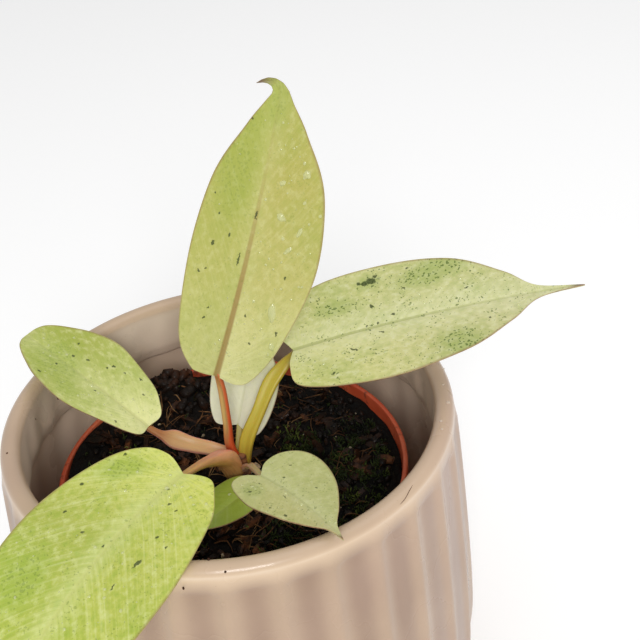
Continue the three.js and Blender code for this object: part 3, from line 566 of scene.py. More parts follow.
anyLeaf = {"twist": 0, "hook": 0, "curl": 0, "neckWidth": 0.1, "blunt": None, "greenZones": [], "flecks": []}
leaves = {
    "upright": {
        "junction": (-2.8, 4.2, 8), "azimuth": 28, "pitch": 66, "roll": 61, "bend": 3, "sway": 6.5,
        "hook": 120, "length": 104, "width": 44, "sides": (0.83, 1.01), "fold": 8, "wave": 0.4,
        "lobes": (-0.006, 0.006), "heels": ((0.02, 0.5), (0.018, 0.5)), "flanks": (0.88, 0.77),
        "widest": 0.41, "shoulder": 0.885, "neck": 0.93, "rows": 150, "columns": 60,
        "ground": ["#DDDC9C", "#BCB76C", "#AEA856", "#A8A856"], "underside": "#C9CC8E",
        "leftHalfPaintedLight": "#A6AC4C", "leftShare": 0.4, "flush": "#90A038", "flushShare": 0.35,
        "midrib": "#9C7F46", "midribWidth": (1.4, 0.4), "midribShare": (0.85, 0.12),
        "halo": "#DCDDA6", "haloShare": 0.15, "haloWidth": 6, "veins": 0.05, "mottle": 0.22,
        "speckle": 0.25, "speckleColour": "#6A8230", "tipShare": 0.9,
        # the first green zone also darkens the upper left half: painted shade of the fold
        "greenZones": [(78, 9, 54, 13, 0), (94, 0, 18, 8, 0)],
        "flecks": [
            (45.5, 11.5, 1.6, 0.9, 10), (41.5, 2.5, 4.2, 0.6, 0), (35.5, 14, 1.1, 0.7, 0),
            (36.5, 12, 0.8, 0.7, 0), (20, 9, 1.4, 0.7, 20), (23.5, 8.5, 0.9, 0.6, 0),
            (14.5, -7.5, 1.1, 0.8, 0), (20, -15, 1.3, 0.7, -20), (23.5, -4, 1, 0.6, 0), (86.5, 7, 1, 0.7, 0),
            (49, 7, 1.2, 0.7, 0), (55.5, 11.5, 1, 0.7, 0), (62, 14, 0.9, 0.6, 0), (39, -13, 1, 0.7, 0),
            (56.5, 0, 3, 0.5, 0)],
    },
    "right": {
        "junction": (22.8, 12.2, 10.5), "azimuth": 3, "pitch": 12.5, "roll": 15.5, "bend": -1, "sway": -10,
        "twist": 5.5, "length": 97, "width": 45, "sides": (1.04, 1), "fold": 6, "wave": 0.5,
        "lobes": (0.04, 0.02), "heels": ((0, 0.66), (0.01, 0.77)), "flanks": (0.94, 0.94),
        "widest": 0.36, "shoulder": 0.83, "neck": 0.86, "neckWidth": 0.09, "rows": 150, "columns": 60,
        "ground": ["#CFCE82", "#C8C686", "#C0BE84", "#B6B080"], "underside": "#C8CCA0",
        "leftHalfPaintedLight": "#BCBE82", "leftShare": 0.5, "flush": "#93A552", "flushShare": 0.5,
        "midrib": "#A3A868", "midribWidth": (0.9, 0.4), "midribShare": (0.7, 0.35),
        "halo": "#DEDEB4", "haloShare": 0.45, "haloWidth": 13, "veins": 0.04, "mottle": 0.45,
        "speckle": 0.75, "speckleColour": "#466010", "tipShare": 0.9,
        "greenZones": [
            (50, 15.5, 26, 9, -8), (55, -14.5, 16, 10, 20), (29, 17.5, 9, 6, 0), (16, 11, 13, 6, 0)],
        "flecks": [
            (30, 18, 3.4, 2.4, 20), (28, 17.5, 2, 1.6, 0), (31.5, 19.5, 1.6, 1.1, 0), (26, 18, 1.5, 1.1, 0),
            (20, -7.5, 3, 0.6, 35), (12, -15.5, 1.1, 0.8, 0), (29.5, 1, 1.2, 1, 0), (25.5, 1, 0.9, 0.7, 0),
            (35, 3, 1, 0.9, 0), (60, 6.5, 1.2, 0.8, 0), (42.5, 19.5, 1.1, 0.9, 0), (28.5, 8, 1.6, 0.8, 70),
            (40, 12, 1.1, 0.8, 0), (65.5, -7, 1, 0.7, 0), (30, -3, 2, 0.5, 20)],
    },
    "left": {
        "junction": (-27.8, 4.6, -10.5), "azimuth": 145.5, "pitch": 28, "roll": 0, "bend": -9, "sway": -1,
        "twist": -2, "length": 55, "width": 33, "sides": (0.88, 1.05), "fold": 8, "wave": 0.4,
        "lobes": (0.006, 0.006), "heels": ((0.06, 0.53), (0.05, 0.53)), "flanks": (0.7, 0.78),
        "widest": 0.5, "shoulder": 0.91, "neck": 0.955, "neckWidth": 0.42, "blunt": (0.988, 0.24),
        "rows": 110, "columns": 50,
        "ground": ["#EAEAA4", "#B8BF6A", "#A6AD4E", "#A0A944"], "underside": "#CCD49A",
        "leftHalfPaintedLight": "#CDD38A", "leftShare": 0.25, "flush": "#95A83C", "flushShare": 0.5,
        "midrib": "#BFC07A", "midribWidth": (0.8, 0.35), "midribShare": (0.5, 0.3),
        "halo": "#E2E2A8", "haloShare": 0.3, "haloWidth": 8, "veins": 0.05, "mottle": 0.4,
        "speckle": 0.25, "speckleColour": "#5C7A28", "tipShare": 0.1,
        "greenZones": [(30, 8.5, 9, 7, 20), (40, 2, 18, 20, 0)],
        "flecks": [
            (39, -8.5, 1.2, 0.9, 0), (37, -3.5, 1, 0.8, 0), (38.5, 3, 1.1, 0.7, 30), (32, -5.5, 1.2, 0.9, 0),
            (24, -9.5, 1.4, 0.9, 0), (25, -7.5, 0.9, 0.7, 0), (19.5, -10, 1, 0.7, 0), (14, -12, 1.2, 0.8, 0),
            (9, -8, 1, 0.7, 0), (22, 2.5, 1, 0.7, 0), (40, 10, 1.2, 0.9, 0), (8.5, 7.5, 1, 0.7, 0)],
    },
    "front": {
        "junction": (-11.7, -36.8, 3.9), "azimuth": 238, "pitch": 12, "roll": -17, "bend": -38, "sway": 18,
        "twist": 3, "curl": -20, "length": 110, "width": 47.5, "sides": (0.95, 0.98), "fold": 4, "wave": 0.7,
        "lobes": (0.031, 0.022), "heels": ((0.011, 0.54), (0.014, 0.61)), "flanks": (0.83, 0.83),
        "widest": 0.35, "shoulder": 0.92, "neck": 0.91, "rows": 170, "columns": 64,
        "ground": ["#DCE07A", "#AAB24C", "#AEBA4C", "#AAB749"], "underside": "#C2CB7A",
        "leftHalfPaintedLight": "#CBD060", "leftShare": 0.35, "flush": "#93AC34", "flushShare": 0.5,
        "midrib": "#C4C878", "midribWidth": (1.1, 0.5), "midribShare": (0.55, 0.4),
        "halo": "#CDD48A", "haloShare": 0.55, "haloWidth": 6, "veins": 0.15, "mottle": 0.6,
        "speckle": 0.35, "speckleColour": "#566E14", "tipShare": 0.6,
        "greenZones": [(56, -12.5, 18, 10, 0), (12, -13, 14, 7, 30)],
        "flecks": [
            (8, -16, 1.3, 0.8, 0), (24.5, -18, 1.1, 0.8, 0), (34.5, -16, 1.1, 0.9, 0), (37, -8, 1.2, 0.8, 0),
            (37, -1, 1, 0.7, 0), (14, 5, 1.3, 0.7, 20), (9, 1, 0.9, 0.6, 0), (15, 8, 1.1, 0.6, 0),
            (26.5, 9.5, 1, 0.7, 0), (28, 13.5, 1.1, 0.7, 0), (37, 10, 3.6, 0.6, 10),
            (46.5, 8.5, 2.2, 0.5, 0)],
    },
    "heart": {
        "junction": (10.6, -34, -1.9), "azimuth": 308, "pitch": 14, "roll": 2, "bend": -12, "sway": -10,
        "twist": 2, "length": 43, "width": 27, "sides": (1.07, 0.92), "fold": 7, "wave": 0.25,
        "lobes": (0.08, 0.1), "heels": ((-0.04, 0.74), (-0.05, 0.74)), "flanks": (0.95, 0.94),
        "widest": 0.29, "shoulder": 0.8, "neck": 0.88, "rows": 100, "columns": 46,
        "ground": ["#C4C488", "#BCBA7E", "#B8B47A", "#AC9A6A"], "underside": "#BCC796",
        "leftHalfPaintedLight": "#B6BC80", "leftShare": 0.4, "flush": "#98A65E", "flushShare": 0.35,
        "midrib": "#AAAE78", "midribWidth": (0.6, 0.3), "midribShare": (0.55, 0.35),
        "halo": "#D2D4A4", "haloShare": 0.3, "haloWidth": 5, "veins": 0.05, "mottle": 0.35,
        "speckle": 0.45, "speckleColour": "#546420", "tipShare": 0.9, "greenZones": [(6, -7, 8, 6, 0)],
        "flecks": [
            (6, -8, 1.2, 0.8, 0), (4.5, -3.5, 0.9, 0.6, 0), (24.5, -7.5, 1, 0.8, 0), (18, -8.5, 0.8, 0.6, 0),
            (21, 6, 0.9, 0.6, 0), (16.5, -2.5, 2, 0.4, 0), (8.5, 3, 0.9, 0.6, 0), (6, 7.5, 0.7, 0.5, 0)],
    },
    "low": {
        "junction": (5.6, -14.2, -24.4), "azimuth": 228, "pitch": 5, "roll": 2, "bend": -6, "sway": -2,
        "length": 29, "width": 18, "sides": (1, 1), "fold": 6, "wave": 0.2,
        "lobes": (0.1, 0.1), "heels": ((-0.05, 0.72), (-0.05, 0.72)), "flanks": (0.94, 0.94),
        "widest": 0.36, "shoulder": 0.88, "neck": 0.9, "rows": 80, "columns": 40,
        "ground": ["#9CAE40", "#94A63A", "#8C9E36"], "underside": "#95A75A",
        "leftHalfPaintedLight": "#8CA038", "leftShare": 0.3, "flush": "#7C9230", "flushShare": 0.4,
        "midrib": "#A4B058", "midribWidth": (0.5, 0.25), "midribShare": (0.5, 0.4),
        "halo": "#A6B450", "haloShare": 0.2, "haloWidth": 4, "veins": 0.05, "mottle": 0.25,
        "speckle": 0.05, "speckleColour": "#4C6620", "tipShare": 0.3,
    },
    "back": {
        "junction": (1.2, 10.8, -18.1), "azimuth": 57, "pitch": 60, "roll": 1, "bend": 2, "sway": 0,
        "twist": 3.5, "length": 44, "width": 26, "sides": (1, 1.02), "fold": 5, "wave": 0.25,
        "lobes": (0.03, 0.03), "heels": ((-0.015, 0.7), (-0.015, 0.7)), "flanks": (0.93, 0.93),
        "widest": 0.42, "shoulder": 0.66, "neck": 0.89, "rows": 90, "columns": 44,
        "ground": ["#ECEAD0", "#E6E6C6", "#DCDEB8"], "underside": "#DADCBC",
        "leftHalfPaintedLight": "#DEE0BC", "leftShare": 0.3, "flush": "#C8CE98", "flushShare": 0.3,
        "midrib": "#D2D2A8", "midribWidth": (0.7, 0.3), "midribShare": (0.5, 0.4),
        "halo": "#EEEED4", "haloShare": 0.2, "haloWidth": 5, "veins": 0.04, "mottle": 0.2,
        "speckle": 0.05, "speckleColour": "#8A9858", "tipShare": 0.3,
    },
}
leaves = {name: {**anyLeaf, **leaf} for name, leaf in leaves.items()}
bladeForm = {
    "thickness": 0.7, "ribDepth": 1.1, "ribWidth": (1.5, 0.6), "ribTaper": 0.8, "groove": 0.35,
    "edge": 0.5, "edgeFrom": 0.86, "seatReach": 1.2, "seatDepth": 1.3, "pucker": 0.03, "puckerSpacing": 3.2,
    # where on the midrib the vein starts that ends at each point of the margin, as shares of the length
    "veinRoots": [0, 0.004, 0.012, 0.03, 0.08, 0.34, 0.64, 0.87, 1],
}


def bladeTurn(leaf, place):
    share = clamp(place / leaf["length"])
    tip = ease(share, leaf["neck"] - 0.04, 1)
    whole = Euler([math.radians(a) for a in (leaf["roll"], -leaf["pitch"], leaf["azimuth"])]).to_matrix()
    local = Euler([math.radians(a) for a in (
        leaf["twist"] * share, -leaf["bend"] * share - leaf["curl"] * tip,
        leaf["sway"] * share + leaf["hook"] * tip)]).to_matrix()
    return whole @ local


def midribOf(leaf, steps=60):
    stride = leaf["length"] / steps
    points = [Vector(leaf["junction"]) + Vector((0, 0, rimHeight))]
    for step in range(steps):
        points.append(points[-1] + bladeTurn(leaf, (step + 0.5) * stride).col[0] * stride)
    return points


def onMidrib(leaf, midrib, place):
    if place <= 0:
        return midrib[0] + bladeTurn(leaf, 0).col[0] * place
    spot = min(place / leaf["length"], 1) * (len(midrib) - 1)
    step = min(int(spot), len(midrib) - 2)
    return midrib[step].lerp(midrib[step + 1], spot - step)


def marginKnots(leaf, side):  # (along, across) as shares, from the notch round a lobe to the tip
    widest, neck, shoulder, neckWidth = leaf["widest"], leaf["neck"], leaf["shoulder"], leaf["neckWidth"]
    span = neck - widest
    knots = [
        (0, 0), (-leaf["lobes"][side], 0.34), leaf["heels"][side], (widest * 0.36, leaf["flanks"][side]),
        (widest, 1), (widest + span * 0.42, shoulder),
        (widest + span * 0.78, shoulder * 0.44 + neckWidth * 0.6), (neck, neckWidth), leaf["blunt"], (1, 0),
    ]
    return [knot for knot in knots if knot]


def bladePoint(leaf, midrib, place, across, drop):  # in mm; across is positive on the left half
    turn = bladeTurn(leaf, place)
    reach = abs(across)
    fold = math.radians(leaf["fold"])
    phase = 1.3 if across < 0 else 0
    crest = math.sin(4 * math.pi * place / leaf["length"] + phase)
    ripple = leaf["wave"] * crest * (reach / leaf["width"] * 2) ** 2
    rise = reach * math.sin(fold) + ripple - drop
    return onMidrib(leaf, midrib, place) + turn.col[1] * across * math.cos(fold) + turn.col[2] * rise


def buildBlade(name, leaf):
    form = bladeForm
    rows, columns, length = leaf["rows"], leaf["columns"], leaf["length"]
    midrib = midribOf(leaf)
    halves = [leaf["width"] / 2 * share for share in leaf["sides"]]
    margins = [[through(marginKnots(leaf, side), row / rows) for row in range(rows + 1)] for side in (0, 1)]
    travelled = [0]
    for start, end in zip(margins[0], margins[0][1:]):
        step = math.hypot((end.x - start.x) * length, (end.y - start.y) * halves[0])
        travelled.append(travelled[-1] + step)
    shape = bmesh.new()
    # leafPlace: mm across and along, share of the way out; veinPlace: which vein, and how far out, in mm
    leafPlace = shape.verts.layers.float_vector.new("leafPlace")
    veinPlace = shape.verts.layers.float_vector.new("veinPlace")
    for under in (False, True):
        made = bmesh.ops.create_grid(shape, x_segments=columns, y_segments=rows, size=1)["verts"]
        for vert in made:
            row = round((vert.co.y + 1) / 2 * rows)
            side = 0 if vert.co.x >= 0 else 1
            out = abs(vert.co.x) ** 1.4  # columns crowd towards the midrib
            end = margins[side][row]
            root = level(form["veinRoots"], row / rows)
            place = mix(root, end.x, out ** 1.15) * length
            across = (1 if side == 0 else -1) * end.y * halves[side] * out
            share = clamp(place / length)
            ridge = (1 - form["ribTaper"] * share) * math.exp(-(across / mix(*form["ribWidth"], share)) ** 2)
            vein = 0.5 * (root * length + travelled[row])
            pucker = form["pucker"] * math.sin(math.tau * vein / form["puckerSpacing"]) * 4 * out * (1 - out)
            drop = form["groove"] * ridge - pucker
            if under:
                thin = mix(1, form["edge"], ease(out, form["edgeFrom"], 1))
                drop = form["thickness"] * thin + form["ribDepth"] * ridge - pucker
            vert.co = bladePoint(leaf, midrib, place, across, drop) * mm
            vert[leafPlace] = (across, place, out)
            vert[veinPlace] = (vein, across, 0)
        faces = list({face for vert in made for face in vert.link_faces})
        for face in faces:
            face.material_index = 1 if under else 0
        if under:
            bmesh.ops.reverse_faces(shape, faces=faces)
    bmesh.ops.remove_doubles(shape, verts=shape.verts[:], dist=1e-7)
    rim = [edge for edge in shape.edges if edge.is_boundary]
    for face in bmesh.ops.bridge_loops(shape, edges=rim)["faces"]:
        face.material_index = 2
    bmesh.ops.recalc_face_normals(shape, faces=shape.faces[:])
    materials = [laminaMaterial(name, leaf), undersideMaterial(name, leaf), marginMaterial()]
    newPiece("leafBlade." + name, shape, materials, ["blade_" + name], sharpAngle=60)


leafSkin = {
    "margin": "#86604A", "dryMargin": "#B79A72", "paleVein": "#F0EFC0", "darkVein": "#7E8E34",
    "fleck": "#2C3C0A", "tip": "#5E4034",
    "zoneShare": 0.45, "fleckShare": 0.85, "marginShare": 0.5, "ragged": 1.6,
    # each pattern: the place that it lies along, its stretch per mm, its node, output and settings
    "patterns": {
        "cloud": ("leafPlace", (0.06, 0.045, 0), "TexNoise", "Fac", {"Detail": 4}),  # about 20 mm
        "mottle": ("leafPlace", (0.5, 0.34, 0), "TexNoise", "Fac", {"Detail": 3, "Roughness": 0.6}),  # 2 mm
        "haloPatches": ("veinPlace", (0.5, 0.12, 0), "TexNoise", "Fac", {"Detail": 3}),  # 2 by 8 mm
        "veins": ("veinPlace", (0.9, 0.045, 0), "TexNoise", "Fac", {"Detail": 3}),  # about 1 mm apart
        "stir": ("leafPlace", (0.9, 0.9, 0), "TexNoise", "Color", {"Detail": 2}),  # 1 mm
        "gathering": ("leafPlace", (0.14, 0.14, 0), "TexNoise", "Fac", {"Detail": 3}),  # 7 mm
        "cells": ("leafPlace", (2.4, 2.4, 1), "TexVoronoi", "Distance", {}),  # quilting, 0.4 mm cells
        "grains": ("raggedPlace", (1.1, 0.9, 1), "TexVoronoi", "Distance", {}),  # specks 1 mm apart
    },
}


def spotMask(tree, surface, spots, softness):  # spots: along, across, length, width in mm, and angle
    nearest = 9.0
    for place, across, length, width, angle in spots:
        moved = addNode(tree, "Mapping", {
            "Vector": surface, "Location": (across, place, 0), "Rotation": (0, 0, math.radians(angle)),
            "Scale": (width / 2, length / 2, 1000)}, vector_type="TEXTURE").outputs[0]
        reach = addNode(tree, "VectorMath", {0: moved}, operation="LENGTH").outputs["Value"]
        nearest = addNode(tree, "Math", {0: nearest, 1: reach}, operation="MINIMUM").outputs[0]
    return addNode(tree, "MapRange", {0: nearest, 1: 1 - softness, 2: 1 + softness, 3: 1.0, 4: 0.0},
                   interpolation_type="SMOOTHSTEP").outputs[0]


def laminaMaterial(name, leaf):
    # A leaf's upper skin: a thin waxy cuticle over pale green cells, so satin, with fine veins and flecks
    skin = leafSkin
    material, tree, shader = newMaterial("leafCuticle." + name, IOR=1.42, Subsurface_Weight=0.12,
                                         Subsurface_Scale=0.0012)
    shader.inputs["Subsurface Radius"].default_value = (0.9, 1.0, 0.35)
    surfaces = {surface: addNode(tree, "Attribute", attribute_name=surface).outputs["Vector"]
                for surface in ("leafPlace", "veinPlace")}
    across, place, out = addNode(tree, "SeparateXYZ", {0: surfaces["leafPlace"]}).outputs
    share = addNode(tree, "Math", {0: place, 1: leaf["length"]}, operation="DIVIDE").outputs[0]
    drawn = {}
    for pattern, (surface, stretch, kind, output, settings) in skin["patterns"].items():
        scaled = addNode(tree, "Mapping", {"Vector": surfaces[surface], "Scale": stretch}).outputs[0]
        drawn[pattern] = addNode(tree, kind, {"Vector": scaled, "Scale": 1.0, **settings}).outputs[output]
        if pattern == "stir":  # the outlines of spots and specks are ragged by it
            even = addNode(tree, "VectorMath", {0: drawn["stir"], 1: (0.5, 0.5, 0.5)}, operation="SUBTRACT")
            surfaces["raggedPlace"] = addNode(tree, "VectorMath", {
                0: even.outputs[0], 1: (skin["ragged"], skin["ragged"], 0), 2: surfaces["leafPlace"]},
                operation="MULTIPLY_ADD").outputs[0]
    offMidrib = addNode(tree, "Math", {0: across}, operation="ABSOLUTE").outputs[0]
    halo = addNode(tree, "MapRange", {
        0: offMidrib, 1: 0.0, 2: leaf["haloWidth"], 3: leaf["haloShare"], 4: 0.0},
        interpolation_type="SMOOTHSTEP").outputs[0]
    width = addNode(tree, "MapRange", dict(enumerate((share, 0.0, 1.0, *leaf["midribWidth"])))).outputs[0]
    ribEdge = addNode(tree, "Math", {0: width, 1: 0.45}, operation="MULTIPLY").outputs[0]
    rib = addNode(tree, "MapRange", {0: offMidrib, 1: ribEdge, 2: width, 3: 1.0, 4: 0.0},
                  interpolation_type="SMOOTHSTEP").outputs[0]
    zones = spotMask(tree, surfaces["raggedPlace"], leaf["greenZones"], 0.5)
    flecks = spotMask(tree, surfaces["raggedPlace"], leaf["flecks"], 0.3)
    gate = addNode(tree, "MapRange", {0: drawn["gathering"], 1: 0.34, 2: 0.64, 3: 0.0, 4: 0.8}).outputs[0]
    crowd = addNode(tree, "Math", {0: zones, 1: gate}, operation="MAXIMUM").outputs[0]
    grainSize = addNode(tree, "MapRange", {0: crowd, 1: 0.0, 2: 1.0, 3: 0.03, 4: 0.36}).outputs[0]
    specks = addNode(tree, "Math", {0: drawn["grains"], 1: grainSize}, operation="LESS_THAN").outputs[0]
    cloud, mottle, veins = drawn["cloud"], drawn["mottle"], drawn["veins"]
    layers = [  # colour, mask, then what drives its share: a value, its range, and the share at both ends
        # painted light and shade: each leaf's left half is painted lighter or darker for how its fold meets
        # the light
        (leaf["leftHalfPaintedLight"], None, across, -0.6, 0.6, 0, leaf["leftShare"]),
        (leaf["flush"], None, cloud, 0.45, 0.72, 0, leaf["flushShare"]),
        (leaf["flush"], None, mottle, 0.5, 0.3, 0, leaf["mottle"]),
        (leaf["halo"], None, mottle, 0.5, 0.68, 0, leaf["mottle"]),
        (leaf["halo"], halo, drawn["haloPatches"], 0.3, 0.7, 0.5, 1.2),
        (skin["paleVein"], None, veins, 0.5, 0.72, 0, leaf["veins"] * 1.4),
        (skin["darkVein"], None, veins, 0.5, 0.3, 0, leaf["veins"]),
        (leaf["midrib"], rib, share, 0.3, 0.7, *leaf["midribShare"]),
        (leaf["flush"], None, zones, 0, 1, 0, skin["zoneShare"]),
        (leaf["speckleColour"], None, specks, 0, 1, 0, leaf["speckle"]),
        (skin["fleck"], None, flecks, 0, 1, 0, skin["fleckShare"]),
        (skin["margin"], None, out, 0.965, 0.992, 0, skin["marginShare"]),
        (skin["tip"], None, share, 0.94, 0.985, 0, leaf["tipShare"]),
    ]
    colour = addNode(tree, "ValToRGB", {"Fac": share}, stops=evenStops(leaf["ground"])).outputs[0]
    for tone, mask, *drive in layers:
        factor = addNode(tree, "MapRange", dict(enumerate(drive))).outputs[0]
        if mask is not None:
            factor = addNode(tree, "Math", {0: mask, 1: factor}, operation="MULTIPLY").outputs[0]
        colour = addNode(tree, "Mix", {0: factor, 6: colour, 7: linear(tone)}, data_type="RGBA").outputs[2]
    tree.links.new(colour, shader.inputs["Base Color"])
    gloss = addNode(tree, "MapRange", {0: cloud, 1: 0.3, 2: 0.7, 3: 0.32, 4: 0.44}).outputs[0]
    tree.links.new(gloss, shader.inputs["Roughness"])
    relief = addNode(tree, "Math", {0: drawn["cells"], 1: 0.3, 2: veins}, operation="MULTIPLY_ADD").outputs[0]
    bump = addNode(tree, "Bump", {"Height": relief, "Strength": 0.3, "Distance": 0.0003})
    tree.links.new(bump.outputs[0], shader.inputs["Normal"])
    return material


def undersideMaterial(name, leaf):
    # The underside: paler, matter skin with raised veins
    material, tree, shader = newMaterial("leafUnderside." + name, IOR=1.4, Roughness=0.6)
    veinPlace = addNode(tree, "Attribute", attribute_name="veinPlace").outputs["Vector"]
    scaled = addNode(tree, "Mapping", {"Vector": veinPlace, "Scale": (0.9, 0.12, 0)}).outputs[0]
    streaks = addNode(tree, "TexNoise", {"Vector": scaled, "Scale": 1, "Detail": 4}).outputs["Fac"]  # 1 mm
    tone = addNode(tree, "ValToRGB", {"Fac": streaks},
                   stops=[(0.3, leaf["flush"]), (0.5, leaf["underside"])]).outputs[0]
    across = addNode(tree, "SeparateXYZ", {0: veinPlace}).outputs[1]
    offMidrib = addNode(tree, "Math", {0: across}, operation="ABSOLUTE").outputs[0]
    rib = addNode(tree, "MapRange", {0: offMidrib, 1: 0.5, 2: 1.4, 3: 0.6, 4: 0.0}).outputs[0]
    ribbed = addNode(tree, "Mix", {0: rib, 6: tone, 7: linear(leaf["midrib"])}, data_type="RGBA").outputs[2]
    tree.links.new(ribbed, shader.inputs["Base Color"])
    bump = addNode(tree, "Bump", {"Height": streaks, "Strength": 0.5, "Distance": 0.0004})
    tree.links.new(bump.outputs[0], shader.inputs["Normal"])
    return material


def marginMaterial():
    # The cut of the margin: a thin translucent line that dries reddish brown
    if "leafMargin" in bpy.data.materials:
        return bpy.data.materials["leafMargin"]
    material, tree, shader = newMaterial("leafMargin", IOR=1.4, Roughness=0.5)
    veinPlace = addNode(tree, "Attribute", attribute_name="veinPlace").outputs["Vector"]
    patches = addNode(tree, "TexNoise", {"Vector": veinPlace, "Scale": 0.3, "Detail": 3}).outputs["Fac"]
    tone = addNode(tree, "ValToRGB", {"Fac": patches},
                   stops=[(0.35, leafSkin["dryMargin"]), (0.65, leafSkin["margin"])]).outputs[0]
    tree.links.new(tone, shader.inputs["Base Color"])
    return material


# The petioles: each rises from the stem, some with a sheath that still hugs its neighbours.
# Routes, widths and depths are in mm, and the last point of each route is the seat in its blade.

petioles = {
    "upright": {
        "route": [(2, 0.2, -27), (-1.1, 0.8, -19.5), (-1.2, 1.8, -9), (-1.6, 4.4, 2)],
        "widths": [4.6, 4, 3.8, 3.6, 2.8], "depths": [3.4, 3, 2.8, 2.6, 2.3], "face": (-0.8, -0.6, 0.2),
        "colours": ["#A83A1C", "#BC4220", "#C24C22", "#C45C2C", "#BC6834"],
        "channel": [0.1, 0.1, 0.8, 1, 0.3],
        "inner": "#D6C47A", "innerShare": [0, 0, 0.75, 0.6, 0.1], "edge": "#C9663A", "edgeShare": 0.35,
    },
    "right": {
        "route": [(2.8, 0, -27), (4.6, 0.6, -17), (9.4, 4, -8), (14.7, 8.6, 1), (20, 11.4, 5.8)],
        "widths": [4.4, 5.2, 4.8, 5.3, 4, 2.3], "depths": [3.4, 3.4, 3, 2.6, 2.1, 1.9],
        "face": (-0.3, -0.75, 0.6), "channel": [0.5, 0.9, 0.7, 0.8, 0.2, 0.1],
        "colours": ["#A07A2A", "#B29C2C", "#BCAA2E", "#C2B032", "#AE962C", "#8A7024"],
        "inner": "#CABA4A", "innerShare": [0.2, 0.5, 0.5, 0.5, 0.3, 0], "edge": "#A98A3C", "edgeShare": 0.4,
    },
    "left": {
        "route": [
            (0.6, 0.6, -23.5), (-7.4, 2, -20.6), (-14.4, 3.4, -19), (-20.2, 4.2, -16.6), (-24.4, 4.6, -14.4)],
        "widths": [4.4, 5, 5.6, 6.6, 3, 2.4], "depths": [3.4, 3, 2.8, 2.6, 2.2, 1.9],
        "face": (0, -0.5, 0.85), "channel": [0.6, 0.7, 0.8, 0.7, 0.2, 0.1],
        "colours": ["#C48458", "#CE9468", "#D09A6C", "#C88A58", "#B06C34", "#B07436"],
        "inner": "#D2A86C", "innerShare": [0.4, 0.7, 0.8, 0.7, 0.1, 0], "edge": "#DA968A", "edgeShare": 0.8,
    },
    "front": {
        "route": [(-0.6, -2.4, -28.6), (-2.6, -5.8, -18.6), (-6, -14, -11.9), (-8.8, -24, -5)],
        "widths": [7, 8.6, 5.8, 3.8, 2.5], "depths": [5.4, 6.4, 4.2, 2.8, 2.2], "face": (0, 0.5, 0.85),
        "colours": ["#D8A45C", "#E0A468", "#DAA25E", "#D0A056", "#C4A056"],
        "channel": [0, 0.1, 0.3, 0.3, 0.1],
        "inner": "#EA9C82", "innerShare": [0.4, 0.9, 0.8, 0.4, 0], "edge": "#CC957E", "edgeShare": 0.3,
    },
    "heart": {
        "route": [(2.4, -1.6, -27.4), (5, -8, -20.4), (7.6, -19, -12.4)],
        "widths": [3.6, 3, 2.4, 2], "depths": [2.8, 2.4, 2.1, 1.9], "face": (0, 0.4, 0.9),
        "colours": ["#D2A48A", "#D0A68A", "#C4A47A", "#B4AC72"], "channel": [0.9, 0.8, 0.5, 0.1],
        "inner": "#C8B488", "innerShare": [0.2, 0.5, 0.4, 0], "edge": "#DCA898", "edgeShare": 0.6,
    },
    "low": {
        "route": [(2, -1.6, -30), (3.8, -6.4, -28.2)],
        "widths": [2.8, 2.2, 1.8], "depths": [2.4, 2, 1.7], "face": (0, 0, 1),
        "colours": ["#B08A54", "#A0904C", "#8A9440"], "channel": [0.7, 0.5, 0.1],
        "inner": "#A8A05A", "innerShare": [0.2, 0.5, 0], "edge": "#B89068", "edgeShare": 0.5,
    },
    "back": {
        "route": [(1.4, 1.8, -29), (1, 7, -25.4)],
        "widths": [3, 2.6, 2.2], "depths": [2.6, 2.2, 1.9], "face": (0, -0.7, 0.6),
        "colours": ["#B8A04A", "#BCA84C", "#C8BE74"], "channel": [0.8, 0.5, 0.1],
        "inner": "#C8BA66", "innerShare": [0.4, 0.5, 0.2], "edge": "#B89A58", "edgeShare": 0.4,
    },
}


stalkSkin = {"channelWidth": 0.62, "uneven": 0.03, "ribs": "#6E3C20", "ribShare": 0.25, "edgeFacing": 0.18}


def routeLength(route):
    return sum((Vector(b) - Vector(a)).length for a, b in zip(route, route[1:]))


def addStalk(shape, route, stalk, rows=90, columns=44, capShare=0.03):
    # stalkPlace: mm across and along the stalk, and 1 to -1 from the side that faces the stem to its back
    stalkPlace = shape.verts.layers.float_vector["stalkPlace"]
    length = routeLength(route)
    for vert in bmesh.ops.create_grid(shape, x_segments=columns, y_segments=rows, size=1)["verts"]:
        angle, place = math.pi * (vert.co.x + 0.5), (vert.co.y + 1) / 2
        fromEnd = min(place, 1 - place)
        capRound = math.sqrt(1 - (1 - min(fromEnd / capShare, 1)) ** 2)
        centre, side, up = along(route, place, stalk["face"])
        wide, deep = level(stalk["widths"], place) / 2, level(stalk["depths"], place) / 2
        across, height = math.cos(angle), math.sin(angle)
        if height > 0:  # the side that faces the stem is channelled between two wings
            hollow = math.exp(-(across / stalkSkin["channelWidth"]) ** 2)
            height *= 1 - level(stalk["channel"], place) * hollow
        wave = 1 + stalkSkin["uneven"] * noise.noise(Vector((across, height * 2, place * 7)))
        point = centre + (side * across * wide + up * height * deep) * capRound * wave
        vert.co = (point + Vector((0, 0, rimHeight))) * mm
        vert[stalkPlace] = (across * wide, place * length, math.sin(angle))


